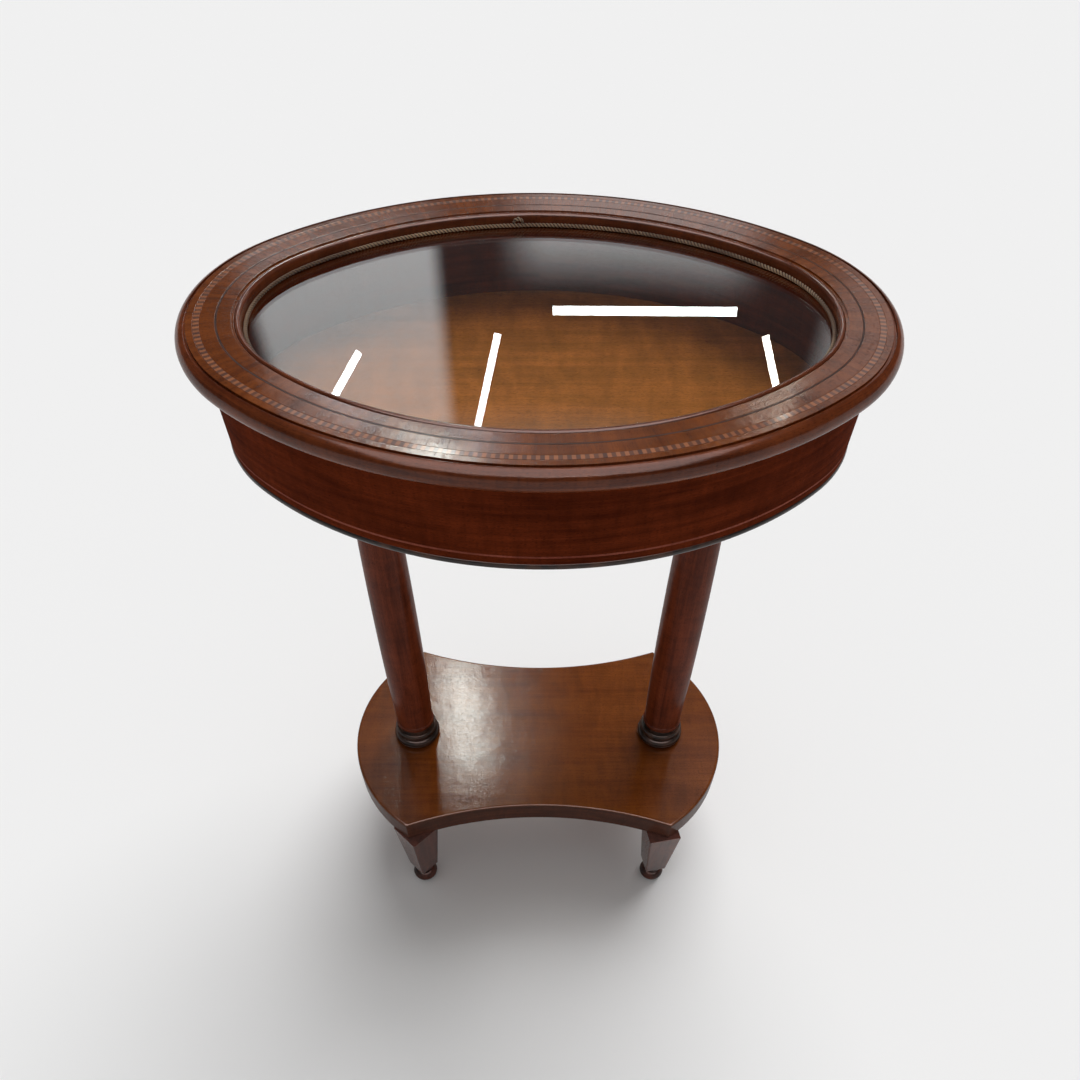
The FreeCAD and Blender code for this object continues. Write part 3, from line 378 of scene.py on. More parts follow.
def turn_profile(name, centre, profile, steps):
    """Turn a closed profile of (radius, height) about a vertical axis through a centre."""
    points = []
    rings = []
    for point in profile:
        if point.x < ON_AXIS:
            rings.append([len(points)] * steps)
            points.append(Vector((*centre, point.y)))
            continue
        rings.append(list(range(len(points), len(points) + steps)))
        for step in range(steps):
            angle = 2 * math.pi * step / steps - math.pi / 2
            points.append(Vector((
                centre[0] + point.x * math.cos(angle), centre[1] + point.x * math.sin(angle), point.y,
            )))
    widest = max(point.x for point in profile)
    up = running_lengths(profile + profile[:1])
    faces = []
    runs = []
    for row, (ring, above) in enumerate(zip(rings, rings[1:] + rings[:1])):
        closes_below = ring[0] == ring[-1]
        closes_above = above[0] == above[-1]
        if closes_below and closes_above:
            continue
        kept = slice(1, 4) if closes_below else slice(0, 3 if closes_above else 4)
        for step in range(steps):
            ahead = (step + 1) % steps
            near = 2 * math.pi * widest * step / steps
            far = 2 * math.pi * widest * (step + 1) / steps
            faces.append([ring[step], ring[ahead], above[ahead], above[step]][kept])
            runs.append([(up[row], near), (up[row], far), (up[row + 1], far), (up[row + 1], near)][kept])
    return mesh_from(name, points, faces, runs)


def cut_boxes(piece, boxes):
    """Cut boxes of (low corner, high corner) that stand clear of each other out of a piece."""
    cutter_mesh = bpy.data.meshes.new("cutter")
    shell = bmesh.new()
    for low, high in boxes:
        size = Vector(high) - Vector(low)
        middle = (Vector(high) + Vector(low)) / 2
        place = Matrix.Translation(middle * MM) @ Matrix.Diagonal((*(size * MM), 1))
        bmesh.ops.create_cube(shell, size=1, matrix=place)
    shell.to_mesh(cutter_mesh)
    shell.free()
    cutter = new_object("cutter", cutter_mesh)
    cut = piece.modifiers.new("cut", "BOOLEAN")
    cut.operation = "DIFFERENCE"
    cut.solver = "EXACT"
    cut.object = cutter
    settle(piece)
    bpy.data.objects.remove(cutter)


def settle(piece):
    """Turn a piece with modifiers into a plain mesh."""
    bpy.context.view_layer.update()
    evaluated = piece.evaluated_get(bpy.context.evaluated_depsgraph_get())
    mesh = bpy.data.meshes.new_from_object(evaluated)
    piece.modifiers.clear()
    old = piece.data
    piece.data = mesh
    bpy.data.meshes.remove(old)
    mesh.name = piece.name


def oval_stations():
    """Places round the rim from the middle of the back: place, outward direction, distance."""
    turn = math.atan2(SIDE_CENTRE, END_CENTRE)
    arcs = (
        (0, -SIDE_CENTRE, SIDE_RADIUS, math.pi / 2, math.pi - turn, SIDE_STEPS // 2),
        (-END_CENTRE, 0, END_RADIUS, math.pi - turn, math.pi + turn, END_STEPS),
        (0, SIDE_CENTRE, SIDE_RADIUS, math.pi + turn, 2 * math.pi - turn, SIDE_STEPS),
        (END_CENTRE, 0, END_RADIUS, -turn, turn, END_STEPS),
        (0, -SIDE_CENTRE, SIDE_RADIUS, turn, math.pi / 2, SIDE_STEPS // 2),
    )
    stations = []
    distance = 0.0
    for x, y, radius, first, last, steps in arcs:
        for step in range(steps):
            angle = first + (last - first) * step / steps
            outward = Vector((math.cos(angle), math.sin(angle), 0))
            run = distance + radius * (last - first) * step / steps
            stations.append((Vector((x, y, 0)) + radius * outward, outward, run))
        distance += radius * (last - first)
    return stations


def with_distances(row):
    """Stations from a flat row of (place, outward), with the distance run so far."""
    distances = running_lengths([place for place, outward in row])
    return [
        (place.to_3d(), outward.to_3d(), distance) for (place, outward), distance in zip(row, distances)
    ]


def shelf_stations():
    """Places round the shelf, with the offset at each corner that keeps both its edges parallel."""
    x, y = SHELF_CORNER
    corners = [Vector((x, -y)), Vector((x, y)), Vector((-x, y)), Vector((-x, -y))]
    plan = ((SHELF_BOW, y), (-SHELF_HOLLOW, x), (SHELF_BOW, y), (-SHELF_HOLLOW, x))
    edges = []
    for corner, target, (rise, half_chord) in zip(corners, corners[1:] + corners[:1], plan):
        radius = (half_chord ** 2 + rise ** 2) / (2 * abs(rise))
        if rise > 0:
            row = arc_row(corner, target, radius, SHELF_STEPS)
        else:
            back = arc_row(target, corner, radius, SHELF_STEPS)
            row = [(place, -outward) for place, outward in reversed(back)]
        edges.append(row)
    row = []
    for edge, previous in zip(edges, edges[-1:] + edges[:-1]):
        arriving = previous[-1][1]
        leaving = edge[0][1]
        mitre = (arriving + leaving) / (1 + arriving.dot(leaving))
        row.extend([(edge[0][0], mitre)] + edge[1:-1])
    return with_distances(row)


def square_stations(centre, half_side, arris, turn):
    """Places round a square with rounded corners; the offset shrinks it towards its middle."""
    angle = math.radians(turn)
    heart = half_side - arris
    row = []
    for quarter in range(4):
        corner = [Vector((half_side, 3 * arris - half_side)), Vector((half_side, half_side - 3 * arris))]
        for step in range(5):
            lean = math.radians(22.5 * step)
            corner.append(Vector((heart + arris * math.cos(lean), heart + arris * math.sin(lean))))
        for spot in corner:
            spot.rotate(Matrix.Rotation(math.radians(90 * quarter) + angle, 2))
            row.append((Vector((centre[0] + spot.x, centre[1] + spot.y)), spot / half_side))
    return with_distances(row)


# Materials. The constants name the kinds of node that come up most, the colour sockets of a
# MIX (its other sockets share their names) and the number sockets of a Random Value. A RANGE
# is given a value, the ends that it comes from and, if they aren't 0 and 1, those it goes to.

MATH = "ShaderNodeMath"
VECTOR_MATH = "ShaderNodeVectorMath"
RANGE = "ShaderNodeMapRange"
NOISE = "ShaderNodeTexNoise"
MIX = "ShaderNodeMix"
BUMP = "ShaderNodeBump"
MAPPING = "ShaderNodeMapping"
COORDINATES = "ShaderNodeTexCoord"
COLOUR_A, COLOUR_B = 6, 7
LOWEST, HIGHEST = 2, 3


def linear(hex_colour):
    """A colour written as sRGB hex, turned linear."""
    channels = [int(hex_colour[index:index + 2], 16) / 255 for index in (1, 3, 5)]
    return (*[
        channel / 12.92 if channel <= 0.04045 else ((channel + 0.055) / 1.055) ** 2.4
        for channel in channels
    ], 1.0)


def add(tree, kind, inputs=(), **settings):
    """Add a node, set it up, and give its inputs values or links.

    Inputs are named, or in order. A colour is given as sRGB hex. A node given as an input
    is linked from its first working output, and a list of nodes one after the other."""
    node = tree.nodes.new(kind)
    for name, setting in settings.items():
        setattr(node, name, setting)
    for name, given in inputs.items() if isinstance(inputs, dict) else enumerate(inputs):
        for source in given if isinstance(given, list) else [given]:
            if isinstance(source, bpy.types.Node):
                source = next(socket for socket in source.outputs if socket.enabled)
            if isinstance(source, bpy.types.NodeSocket):
                tree.links.new(source, node.inputs[name])
            elif isinstance(source, str) and source.startswith("#"):
                node.inputs[name].default_value = linear(source)
            else:
                node.inputs[name].default_value = source
    return node


def start_material(name):
    """An empty material and its tree."""
    material = bpy.data.materials.new(name)
    material.use_nodes = True
    material.node_tree.nodes.clear()
    return material, material.node_tree


def end_material(material, finish):
    """End a material with one shader that has this finish."""
    shader = add(material.node_tree, "ShaderNodeBsdfPrincipled", finish)
    add(material.node_tree, "ShaderNodeOutputMaterial", {"Surface": shader})
    return material


def grain_lines(tree, lie):
    """Coordinates in millimetres with the grain along X. A grain lies along or across the
    run of a moulding, or along an axis of the table."""
    if lie in ("along", "across"):
        place = add(tree, "ShaderNodeUVMap", uv_map="run")
    else:
        place = add(tree, COORDINATES).outputs["Object"]
    quarter = math.pi / 2
    turns = {"along": (0, 0, 0), "across": (0, 0, quarter), "x": (0, 0, 0), "z": (0, quarter, 0)}
    return add(tree, MAPPING, {
        "Vector": place, "Rotation": turns[lie], "Scale": (1 / MM, 1 / MM, 1 / MM),
    })


def streaks(tree, grain, length, width, detail=2.0, warp=0.0):
    """Noise drawn out along the grain, in streaks of that length and width in millimetres."""
    drawn = add(tree, MAPPING, {"Vector": grain, "Scale": (1 / length, 1 / width, 1 / width)})
    return add(tree, NOISE, {"Vector": drawn, "Scale": 1.0, "Detail": detail, "Distortion": warp})


def polished_wood(name, lie, tones, band_mm, figure, coat, coat_roughness, gloss=0.1, ripple=1.0):
    """Open-grained hardwood under shellac, with its broad figure, bands, fibres and pores.

    The pores of the real wood are about 0.2 mm wide and 2 to 4 mm long; they are drawn
    at 0.35 mm, the narrowest that shows. Gloss is the sheen of the wood itself under its
    coat, and ripple is how far the hand-rubbed surface is from flat."""
    dark, light, pore = tones
    material, tree = start_material(name)
    grain = grain_lines(tree, lie)
    broad = streaks(tree, grain, 9 * band_mm, 2.4 * band_mm, 3.0, 0.8)
    bands = streaks(tree, grain, 14 * band_mm, 0.5 * band_mm, 3.0, 0.4)
    fibres = streaks(tree, grain, 26, 0.8)
    pores = streaks(tree, grain, 3.0, 0.35, 0.0)
    mottle = streaks(tree, grain, 0.9 * band_mm, 3.0 * band_mm, 2.0, 0.6)
    spread = 0.18 / figure
    tone = add(tree, MATH, [broad, bands], operation="ADD")
    tone = add(tree, RANGE, [tone, 1.0 - spread, 1.0 + spread])
    body = add(tree, MIX, {"Factor": tone, COLOUR_A: dark, COLOUR_B: light}, data_type="RGBA")
    shade = add(tree, MATH, [fibres, mottle], operation="ADD")
    shade = add(tree, RANGE, [shade, 0.75, 1.25, 0.82, 1.16])
    shaded = add(tree, VECTOR_MATH, {0: body, "Scale": shade}, operation="SCALE")
    open_pore = add(tree, RANGE, [pores, 0.60, 0.72, 0.0, 0.55])
    colour = add(tree, MIX, {"Factor": open_pore, COLOUR_A: shaded, COLOUR_B: pore}, data_type="RGBA")
    swell = add(tree, NOISE, {"Vector": grain, "Scale": 0.035, "Detail": 4.0})
    swell = add(tree, MATH, [swell, ripple], operation="MULTIPLY")
    relief = add(tree, MATH, [fibres, 0.10, swell], operation="MULTIPLY_ADD")
    relief = add(tree, MATH, [open_pore, -0.05, relief], operation="MULTIPLY_ADD")
    bump = add(tree, BUMP, {"Strength": 0.35, "Distance": 0.0012, "Height": relief})
    return end_material(material, {
        "Base Color": colour, "Roughness": add(tree, RANGE, [fibres, 0.3, 0.7, 0.42, 0.54]),
        "Specular IOR Level": gloss, "Coat Weight": coat, "Coat Roughness": coat_roughness,
        "Normal": bump, "Coat Normal": bump,
    })


def ebonised(name, black, rubbed, coat):
    """Wood stained dark and polished: near-black with a faint brown rub and a soft grey sheen."""
    material, tree = start_material(name)
    place = add(tree, COORDINATES).outputs["Object"]
    rub = add(tree, NOISE, {"Vector": place, "Scale": 60.0, "Detail": 4.0})
    worn = add(tree, RANGE, [rub, 0.42, 0.72])
    colour = add(tree, MIX, {"Factor": worn, COLOUR_A: black, COLOUR_B: rubbed}, data_type="RGBA")
    return end_material(material, {
        "Base Color": colour, "Roughness": add(tree, RANGE, [rub, 0.3, 0.7, 0.34, 0.5]),
        "Specular IOR Level": 0.2, "Coat Weight": coat, "Coat Roughness": 0.16,
    })


def banding_wood():
    """Blocks of satinwood and rosewood cut across the grain; each block has its own tone."""
    material, tree = start_material("satinwood_and_rosewood")
    place = add(tree, COORDINATES).outputs["Object"]
    tone = add(tree, "ShaderNodeAttribute", attribute_name="tone").outputs["Fac"]
    fibre = add(tree, NOISE, {"Vector": place, "Scale": 1500.0, "Detail": 2.0})
    colour = add(tree, MIX, {"Factor": tone, COLOUR_A: "#431d0d", COLOUR_B: "#92562e"}, data_type="RGBA")
    shade = add(tree, RANGE, [fibre, 0.3, 0.7, 0.85, 1.12])
    return end_material(material, {
        "Base Color": add(tree, VECTOR_MATH, {0: colour, "Scale": shade}, operation="SCALE"),
        "Roughness": 0.45, "Specular IOR Level": 0.2, "Coat Weight": 0.8, "Coat Roughness": 0.1,
    })


def cord_fibre():
    """Two-ply gold and flax cord: soft and dull, with shade painted dark between its plies, browner where
    soiled.
    """
    material, tree = start_material("gilt_flax_cord")
    place = add(tree, COORDINATES).outputs["Object"]
    soil = add(tree, NOISE, {"Vector": place, "Scale": 9.0, "Detail": 3.0})
    hair = add(tree, NOISE, {"Vector": place, "Scale": 900.0, "Detail": 2.0})
    dirt = add(tree, RANGE, [soil, 0.42, 0.62, 0.0, 0.8])
    # The stored tone paints shade: the fibre turns dark where the plies lie against each other.
    tone = add(tree, "ShaderNodeAttribute", attribute_name="tone").outputs["Fac"]
    fibre = add(tree, MIX, {"Factor": hair, COLOUR_A: "#94775a", COLOUR_B: "#c9ae8b"}, data_type="RGBA")
    fibre_with_painted_shade = add(tree, MIX, {"Factor": tone, COLOUR_A: "#2e2018", COLOUR_B: fibre}, data_type="RGBA")
    colour = add(tree, MIX, {"Factor": dirt, COLOUR_A: fibre_with_painted_shade, COLOUR_B: "#3e2a1c"}, data_type="RGBA")
    bump = add(tree, BUMP, {"Strength": 0.5, "Distance": 0.0003, "Height": hair})
    return end_material(material, {
        "Base Color": colour, "Roughness": 0.82, "Specular IOR Level": 0.3,
        "Sheen Weight": 0.25, "Sheen Roughness": 0.4, "Normal": bump,
    })


def float_glass():
    """Clear float glass: mirror-smooth, faintly green, and pale in its shadow."""
    material, tree = start_material("float_glass")
    glass = add(tree, "ShaderNodeBsdfPrincipled", {
        "Base Color": "#f6fbf7", "Roughness": 0.0, "IOR": 1.5, "Transmission Weight": 1.0,
    })
    clear = add(tree, "ShaderNodeBsdfTransparent", {"Color": "#f1f6f2"})
    shadow = add(tree, "ShaderNodeLightPath").outputs["Is Shadow Ray"]
    both = add(tree, "ShaderNodeMixShader", [shadow, glass, clear])
    add(tree, "ShaderNodeOutputMaterial", {"Surface": both})
    return material


def worked_metal(name, dull, bright, roughness):
    """Filed and lacquered metal, a little darker where fingers and polish have not reached."""
    material, tree = start_material(name)
    place = add(tree, COORDINATES).outputs["Object"]
    tarnish = add(tree, NOISE, {"Vector": place, "Scale": 120.0, "Detail": 4.0})
    filed = add(tree, MAPPING, {"Vector": place, "Scale": (60, 2500, 2500)})
    marks = add(tree, NOISE, {"Vector": filed, "Scale": 1.0, "Detail": 1.0})
    colour = add(tree, MIX, {"Factor": tarnish, COLOUR_A: dull, COLOUR_B: bright}, data_type="RGBA")
    return end_material(material, {
        "Base Color": colour, "Metallic": 1.0,
        "Roughness": add(tree, RANGE, [tarnish, 0.0, 1.0, roughness + 0.12, roughness - 0.06]),
        "Normal": add(tree, BUMP, {"Strength": 0.15, "Distance": 0.0001, "Height": marks}),
    })


# Each wood has its name, the lie of its grain, its (dark, light, pore) tones, the width of
# its bands in millimetres, its figure, its coat and the roughness of that coat.

# Warm brown ring with a mirror-like polish, its figure running out to the rim.
CROSSBAND = polished_wood(
    "french_polished_crossband", "across", ("#55270a", "#763c14", "#28100a"), 16, 0.6, 1.0, 0.1,
    gloss=0.0, ripple=0.4,
)
# Red-brown rim with a soft sheen along its round.
MOULDING = polished_wood(
    "french_polished_moulding", "along", ("#4d200b", "#6b3317", "#200d07"), 9, 0.8, 0.55, 0.15,
    gloss=0.0, ripple=0.6,
)
# The same wood with a full polish, for the thin bright line round the glass.
BEAD_WOOD = polished_wood(
    "french_polished_bead", "along", ("#4d200b", "#6b3317", "#200d07"), 9, 0.6, 1.0, 0.15,
    gloss=0.0, ripple=0.6,
)
# Deep red-brown wall, almost without gloss.
FRIEZE_VENEER = polished_wood(
    "french_polished_frieze", "along", ("#461808", "#642811", "#1e0b06"), 11, 0.6, 0.02, 0.2, gloss=0.0,
)
# A rosy line that stands out softly from the frieze.
STRING_WOOD = polished_wood(
    "red_string_wood", "along", ("#74382a", "#8e4e3e", "#2c120a"), 9, 0.6, 0.05, 0.2, gloss=0.0,
)
# Red shafts with upright grain and a faint stripe of light.
TURNED_WOOD = polished_wood(
    "french_polished_turning", "z", ("#4a1c0b", "#70321a", "#220d06"), 10, 0.5, 0.18, 0.14, gloss=0.03,
)
# Golden brown board whose polish mirrors the window.
SHELF_WOOD = polished_wood(
    "french_polished_shelf", "x", ("#58290a", "#743d13", "#2a1206"), 15, 0.4, 1.0, 0.12,
    gloss=0.0, ripple=0.65,
)
# Duller edge of the same board, in a darker copy of its wood that is painted shade.
EDGE_WOOD_PAINTED_SHADE = polished_wood(
    "french_polished_edge", "along", ("#3c1d10", "#532c1b", "#1e0b06"), 9, 0.6, 0.3, 0.16, gloss=0.04,
)
# Purple-brown feet that shine on their faces.
FOOT_WOOD = polished_wood(
    "french_polished_foot", "z", ("#401b11", "#5e3022", "#1e0b07"), 12, 0.8, 0.8, 0.16,
)
# Light honey-brown floor of the case, matt under the glass.
FLOOR_VENEER = polished_wood(
    "waxed_floor_veneer", "x", ("#86501f", "#a5622b", "#4a270c"), 18, 0.5, 0.0, 0.3, gloss=0.02,
)
# Pale plain wood where nobody looks.
PLAIN_WOOD = polished_wood(
    "oiled_secondary_pine", "x", ("#7d5a3a", "#a17b52", "#4c321c"), 12, 1.2, 0.0, 0.4,
)
# Nearly black rings and bead with a grey edge of light.
EBONISED = ebonised("ebonised_pearwood", "#1c120d", "#4a2e1e", 0.32)
# Dark red-brown buns under the feet.
PAD_WOOD = ebonised("stained_beech", "#28130d", "#5c2b1c", 0.1)
# The dark line let into the ring.
STRING_BLACK = ebonised("ebonised_string", "#2a120a", "#401c10", 0.2)
# A dotted band of light and dark, and a grey-gold cord.
BANDING_WOOD = banding_wood()
CORD_FIBRE = cord_fibre()
# A pane that shows the floor of the case and mirrors the room.
GLASS = float_glass()
# Yellow metal for the hinges, grey for the screws underneath.
BRASS = worked_metal("lacquered_brass", "#8a6a34", "#c9a45c", 0.3)
STEEL = worked_metal("bright_steel", "#7d7a76", "#b9b6b0", 0.34)


# The pieces.

def finish_piece(piece, body, slot, material, *nodes):
    """Give a piece its material and its body, and hide the nodes that it stands for. The slot is not used.
    """
    piece.data.materials.clear()
    piece.data.materials.append(material)
    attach(piece, body)
    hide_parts(*nodes)


def dress_node(node, material):
    """Put a material on a node whose own shape is kept."""
    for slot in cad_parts[node].material_slots:
        slot.material = material


def oval_piece(name, body, slot, material, corners, rounding, mortises=()):
    """A closed outline run round the oval, with mortises cut for the hinges."""
    piece = run_profile(f"{name}_run", oval_stations(), soften(trace(corners), rounding))
    for boxes in mortises:
        cut_boxes(piece, boxes)
    finish_piece(piece, body, slot, material, name)


def hinge_boxes(front, back, low, high):
    """A box at each hinge, as long as its leaves."""
    return [
        ((middle - HINGE_HALF_LENGTH, front, low), (middle + HINGE_HALF_LENGTH, back, high))
        for middle in HINGE_MIDDLES
    ]


def inlay_sides(inset, width):
    """Outer and inner side of a line let into the lid, as distances outward."""
    return -(inset - width / 2), -(inset + width / 2)


def make_lid():
    """The veneered ring, its mouldings, the inlaid string, the pane and the bead over it."""
    in_lid = (
        hinge_boxes(PIN_Y - LEAF_REACH, PIN_Y + 0.01, LID_UNDERSIDE - 1, LID_UNDERSIDE + LEAF_BED),
        hinge_boxes(
            PIN_Y - BARREL_ROOM, PIN_Y + BARREL_ROOM, LID_UNDERSIDE - 1, LID_UNDERSIDE + BARREL_ROOM,
        ),
    )
    band_out, band_in = inlay_sides(BANDING_INSET, BANDING_WIDTH)
    line_out, line_in = inlay_sides(STRINGING_INSET, STRINGING_WIDTH)
    bed = TOP - INLAY_DEPTH
    quirk = -(FRAME_WIDTH - INNER_QUIRK_WIDTH)
    oval_piece("lid_frame", "lid", "mahogany_veneer", CROSSBAND, [
        (-NOSING_WIDTH - GLUE_LINE, LID_UNDERSIDE), (-NOSING_WIDTH - GLUE_LINE, TOP),
        (band_out, TOP), (band_out, bed), (band_in, bed), (band_in, TOP),
        (line_out, TOP), (line_out, bed), (line_in, bed), (line_in, TOP),
        (quirk, TOP), (quirk, TOP - INNER_QUIRK_DEPTH),
        (-FRAME_WIDTH, TOP - INNER_QUIRK_DEPTH), (-FRAME_WIDTH, LID_UNDERSIDE),
    ], rounding=0.2, mortises=in_lid)
    oval_piece("lid_nosing", "lid", "mahogany_moulding", MOULDING, [
        (-NOSING_WIDTH, LID_UNDERSIDE), (-NOSING_BULGE, LID_UNDERSIDE, NOSING_BULGE),
        (0.0, LID_UNDERSIDE + NOSING_BULGE), (0.0, TOP - NOSING_BULGE, NOSING_BULGE),
        (-QUIRK_SIDE, NOSING_SHOULDER), (-QUIRK_SIDE, QUIRK_FLOOR), (-NOSING_WIDTH, QUIRK_FLOOR),
    ], rounding=0.35, mortises=in_lid)
    oval_piece("lid_stringing", "lid", "ebonised_wood", STRING_BLACK, [
        (line_out - GLUE_LINE, bed), (line_out - GLUE_LINE, TOP),
        (line_in + GLUE_LINE, TOP), (line_in + GLUE_LINE, bed),
    ], rounding=0.08)
    # The curve of the bead is a hair over half its width, so that rounding can't lose the arc.
    half_bead = (BEAD_INNER - FRAME_WIDTH - GLUE_LINE) / 2
    oval_piece("lid_inner_bead", "lid", "mahogany_moulding", BEAD_WOOD, [
        (-BEAD_INNER, GLASS_TOP), (-FRAME_WIDTH - GLUE_LINE, GLASS_TOP),
        (-FRAME_WIDTH - GLUE_LINE, TOP - half_bead, half_bead * 1.001), (-BEAD_INNER, TOP - half_bead),
    ], rounding=0.2)
    flat = -GLASS_EDGE - NARROW_MARGIN
    edge = trace([
        (flat, GLASS_UNDERSIDE), (-GLASS_EDGE, GLASS_UNDERSIDE), (-GLASS_EDGE, GLASS_TOP), (flat, GLASS_TOP),
    ])
    pane = run_profile(
        "glass_pane_cut", oval_stations(), soften(edge, GLASS_ARRIS, closed=False), capped=True,
    )
    finish_piece(pane, "lid", "clear_glass", GLASS, "glass_pane")


def make_case():
    """The frieze, the string let into it and the bead round its foot."""
    in_frieze = hinge_boxes(PIN_Y - LEAF_REACH, PIN_Y + 0.01, FRIEZE_TOP - LEAF_BED, FRIEZE_TOP + 1)
    string_bed = -FRIEZE_OUTER - INLAY_DEPTH
    oval_piece("frieze_band", "table", "mahogany_veneer", FRIEZE_VENEER, [
        (-FRIEZE_OUTER, FRIEZE_TOP), (-FRIEZE_INNER, FRIEZE_TOP), (-FRIEZE_INNER, BOARD_BED_TOP),
        (-BOARD_BED, BOARD_BED_TOP), (-BOARD_BED, FRIEZE_FOOT), (-FOOT_BEAD_BED, FRIEZE_FOOT),
        (-FOOT_BEAD_BED, FOOT_BEAD_TOP), (-FRIEZE_OUTER, FOOT_BEAD_TOP), (-FRIEZE_OUTER, STRING_LOW),
        (string_bed, STRING_LOW), (string_bed, STRING_HIGH), (-FRIEZE_OUTER, STRING_HIGH),
    ], rounding=0.25, mortises=(in_frieze,))
    inner = string_bed + GLUE_LINE
    oval_piece("frieze_string", "table", "boxwood_inlay", STRING_WOOD, [
        (-FRIEZE_OUTER, STRING_LOW + GLUE_LINE), (-FRIEZE_OUTER, STRING_HIGH - GLUE_LINE),
        (inner, STRING_HIGH - GLUE_LINE), (inner, STRING_LOW + GLUE_LINE),
    ], rounding=0.1)
    back = -FOOT_BEAD_BED + GLUE_LINE
    oval_piece("frieze_foot_bead", "table", "ebonised_wood", EBONISED, [
        (back, FRIEZE_FOOT), (-FOOT_BEAD_FACE, FRIEZE_FOOT, FOOT_BEAD_CURVE),
        (-FOOT_BEAD_FACE, FOOT_BEAD_TOP - GLUE_LINE), (back, FOOT_BEAD_TOP - GLUE_LINE),
    ], rounding=0.15)


def turned_piece(name, centre, slot, material, corners, rounding, steps):
    """A turning that replaces the node of its name."""
    profile = soften(trace(corners), rounding, on_axis=True)
    piece = turn_profile(f"{name}_turned", centre, profile, steps)
    finish_piece(piece, "table", slot, material, name)


def make_columns():
    """Both shafts, with the rings under and over them."""
    socket = SPIGOT_RADIUS + SPIGOT_PLAY
    socket_depth = SPIGOT_LENGTH + SPIGOT_PLAY
    foot_bead_top = SHAFT_FOOT + BEAD_HEIGHT
    head_bead_foot = SHAFT_TOP - BEAD_HEIGHT
    base_radius, base_height, base_curve = BASE_TORUS
    base_small_height, base_small_curve = BASE_SMALL_TORUS
    base_fillet = SHELF_TOP + base_height
    base_small = base_fillet + FILLET_HEIGHT
    base_top = base_small + base_small_height
    cap_radius, cap_height, cap_curve = CAP_TORUS
    cap_small_height, cap_small_curve = CAP_SMALL_TORUS
    cap_torus = BOARD_UNDERSIDE - cap_height
    cap_fillet = cap_torus - FILLET_HEIGHT
    cap_small = cap_fillet - cap_small_height
    for side, x in (("left", -COLUMN_X), ("right", COLUMN_X)):
        turned_piece(f"column_{side}", (x, 0), "mahogany_turned", TURNED_WOOD, [
            (socket, SHAFT_FOOT), (FOOT_BEAD_ROOT, SHAFT_FOOT, BEAD_CURVE), (FOOT_BEAD_ROOT, foot_bead_top),
            (FOOT_RADIUS, foot_bead_top, LOWER_SWELL), (BELLY_RADIUS, SHAFT_BELLY, UPPER_SWELL),
            (HEAD_RADIUS, head_bead_foot), (HEAD_BEAD_ROOT, head_bead_foot, BEAD_CURVE),
            (HEAD_BEAD_ROOT, SHAFT_TOP), (socket, SHAFT_TOP),
            (socket, SHAFT_TOP - socket_depth), (0, SHAFT_TOP - socket_depth),
            (0, SHAFT_FOOT + socket_depth), (socket, SHAFT_FOOT + socket_depth),
        ], rounding=0.25, steps=COLUMN_STEPS)
        turned_piece(f"column_base_{side}", (x, 0), "ebonised_wood", EBONISED, [
            (0, SHELF_TOP - BOARD_SPIGOT), (SPIGOT_RADIUS, SHELF_TOP - BOARD_SPIGOT),
            (SPIGOT_RADIUS, SHELF_TOP), (base_radius, SHELF_TOP, base_curve), (base_radius, base_fillet),
            (FILLET_RADIUS, base_fillet), (FILLET_RADIUS, base_small, base_small_curve),
            (FILLET_RADIUS, base_top), (BASE_NECK, base_top), (BASE_NECK, SHAFT_FOOT),
            (SPIGOT_RADIUS, SHAFT_FOOT), (SPIGOT_RADIUS, SHAFT_FOOT + SPIGOT_LENGTH),
            (0, SHAFT_FOOT + SPIGOT_LENGTH),
        ], rounding=0.3, steps=COLUMN_STEPS)
        turned_piece(f"column_cap_{side}", (x, 0), "ebonised_wood", EBONISED, [
            (0, SHAFT_TOP - SPIGOT_LENGTH), (SPIGOT_RADIUS, SHAFT_TOP - SPIGOT_LENGTH),
            (SPIGOT_RADIUS, SHAFT_TOP), (CAP_NECK, SHAFT_TOP), (CAP_NECK, cap_small),
            (FILLET_RADIUS, cap_small, cap_small_curve), (FILLET_RADIUS, cap_fillet),
            (FILLET_RADIUS, cap_torus), (cap_radius, cap_torus, cap_curve), (cap_radius, BOARD_UNDERSIDE),
            (SPIGOT_RADIUS, BOARD_UNDERSIDE), (SPIGOT_RADIUS, BOARD_UNDERSIDE + BOARD_SPIGOT),
            (0, BOARD_UNDERSIDE + BOARD_SPIGOT),
        ], rounding=0.3, steps=COLUMN_STEPS)


def make_shelf():
    """The shaped shelf with its rounded upper edge and a softened lower one."""
    heart = SHELF_TOP - SHELF_ARRIS
    low = SHELF_LOW_ARRIS
    turns = [math.radians(angle) for angle in range(0, 91, 15)]
    round_edge = [
        (SHELF_ARRIS * math.sin(turn) - SHELF_ARRIS, heart + SHELF_ARRIS * math.cos(turn)) for turn in turns
    ]
    profile = trace([
        (-WIDE_MARGIN, SHELF_TOP), (-SHELF_ARRIS - BESIDE_ARRIS, SHELF_TOP), *round_edge,
        (0, heart - BESIDE_ARRIS), (0, SHELF_UNDERSIDE + 1.5 * low), (0, SHELF_UNDERSIDE + low),
        (-low / 4, SHELF_UNDERSIDE + low / 4), (-low, SHELF_UNDERSIDE),
        (-1.5 * low, SHELF_UNDERSIDE), (-NARROW_MARGIN, SHELF_UNDERSIDE),
    ])
    shelf = run_profile("lower_shelf_cut", shelf_stations(), profile, capped=True)
    finish_piece(shelf, "table", "mahogany_solid", SHELF_WOOD, "lower_shelf")
    # Painted shade: the steep faces round the shelf's edge take the darker copy of its wood.
    shelf.data.materials.append(EDGE_WOOD_PAINTED_SHADE)
    for face in shelf.data.polygons:
        face.material_index = int(abs(face.normal.z) < SHELF_SIDE_SLOPE)


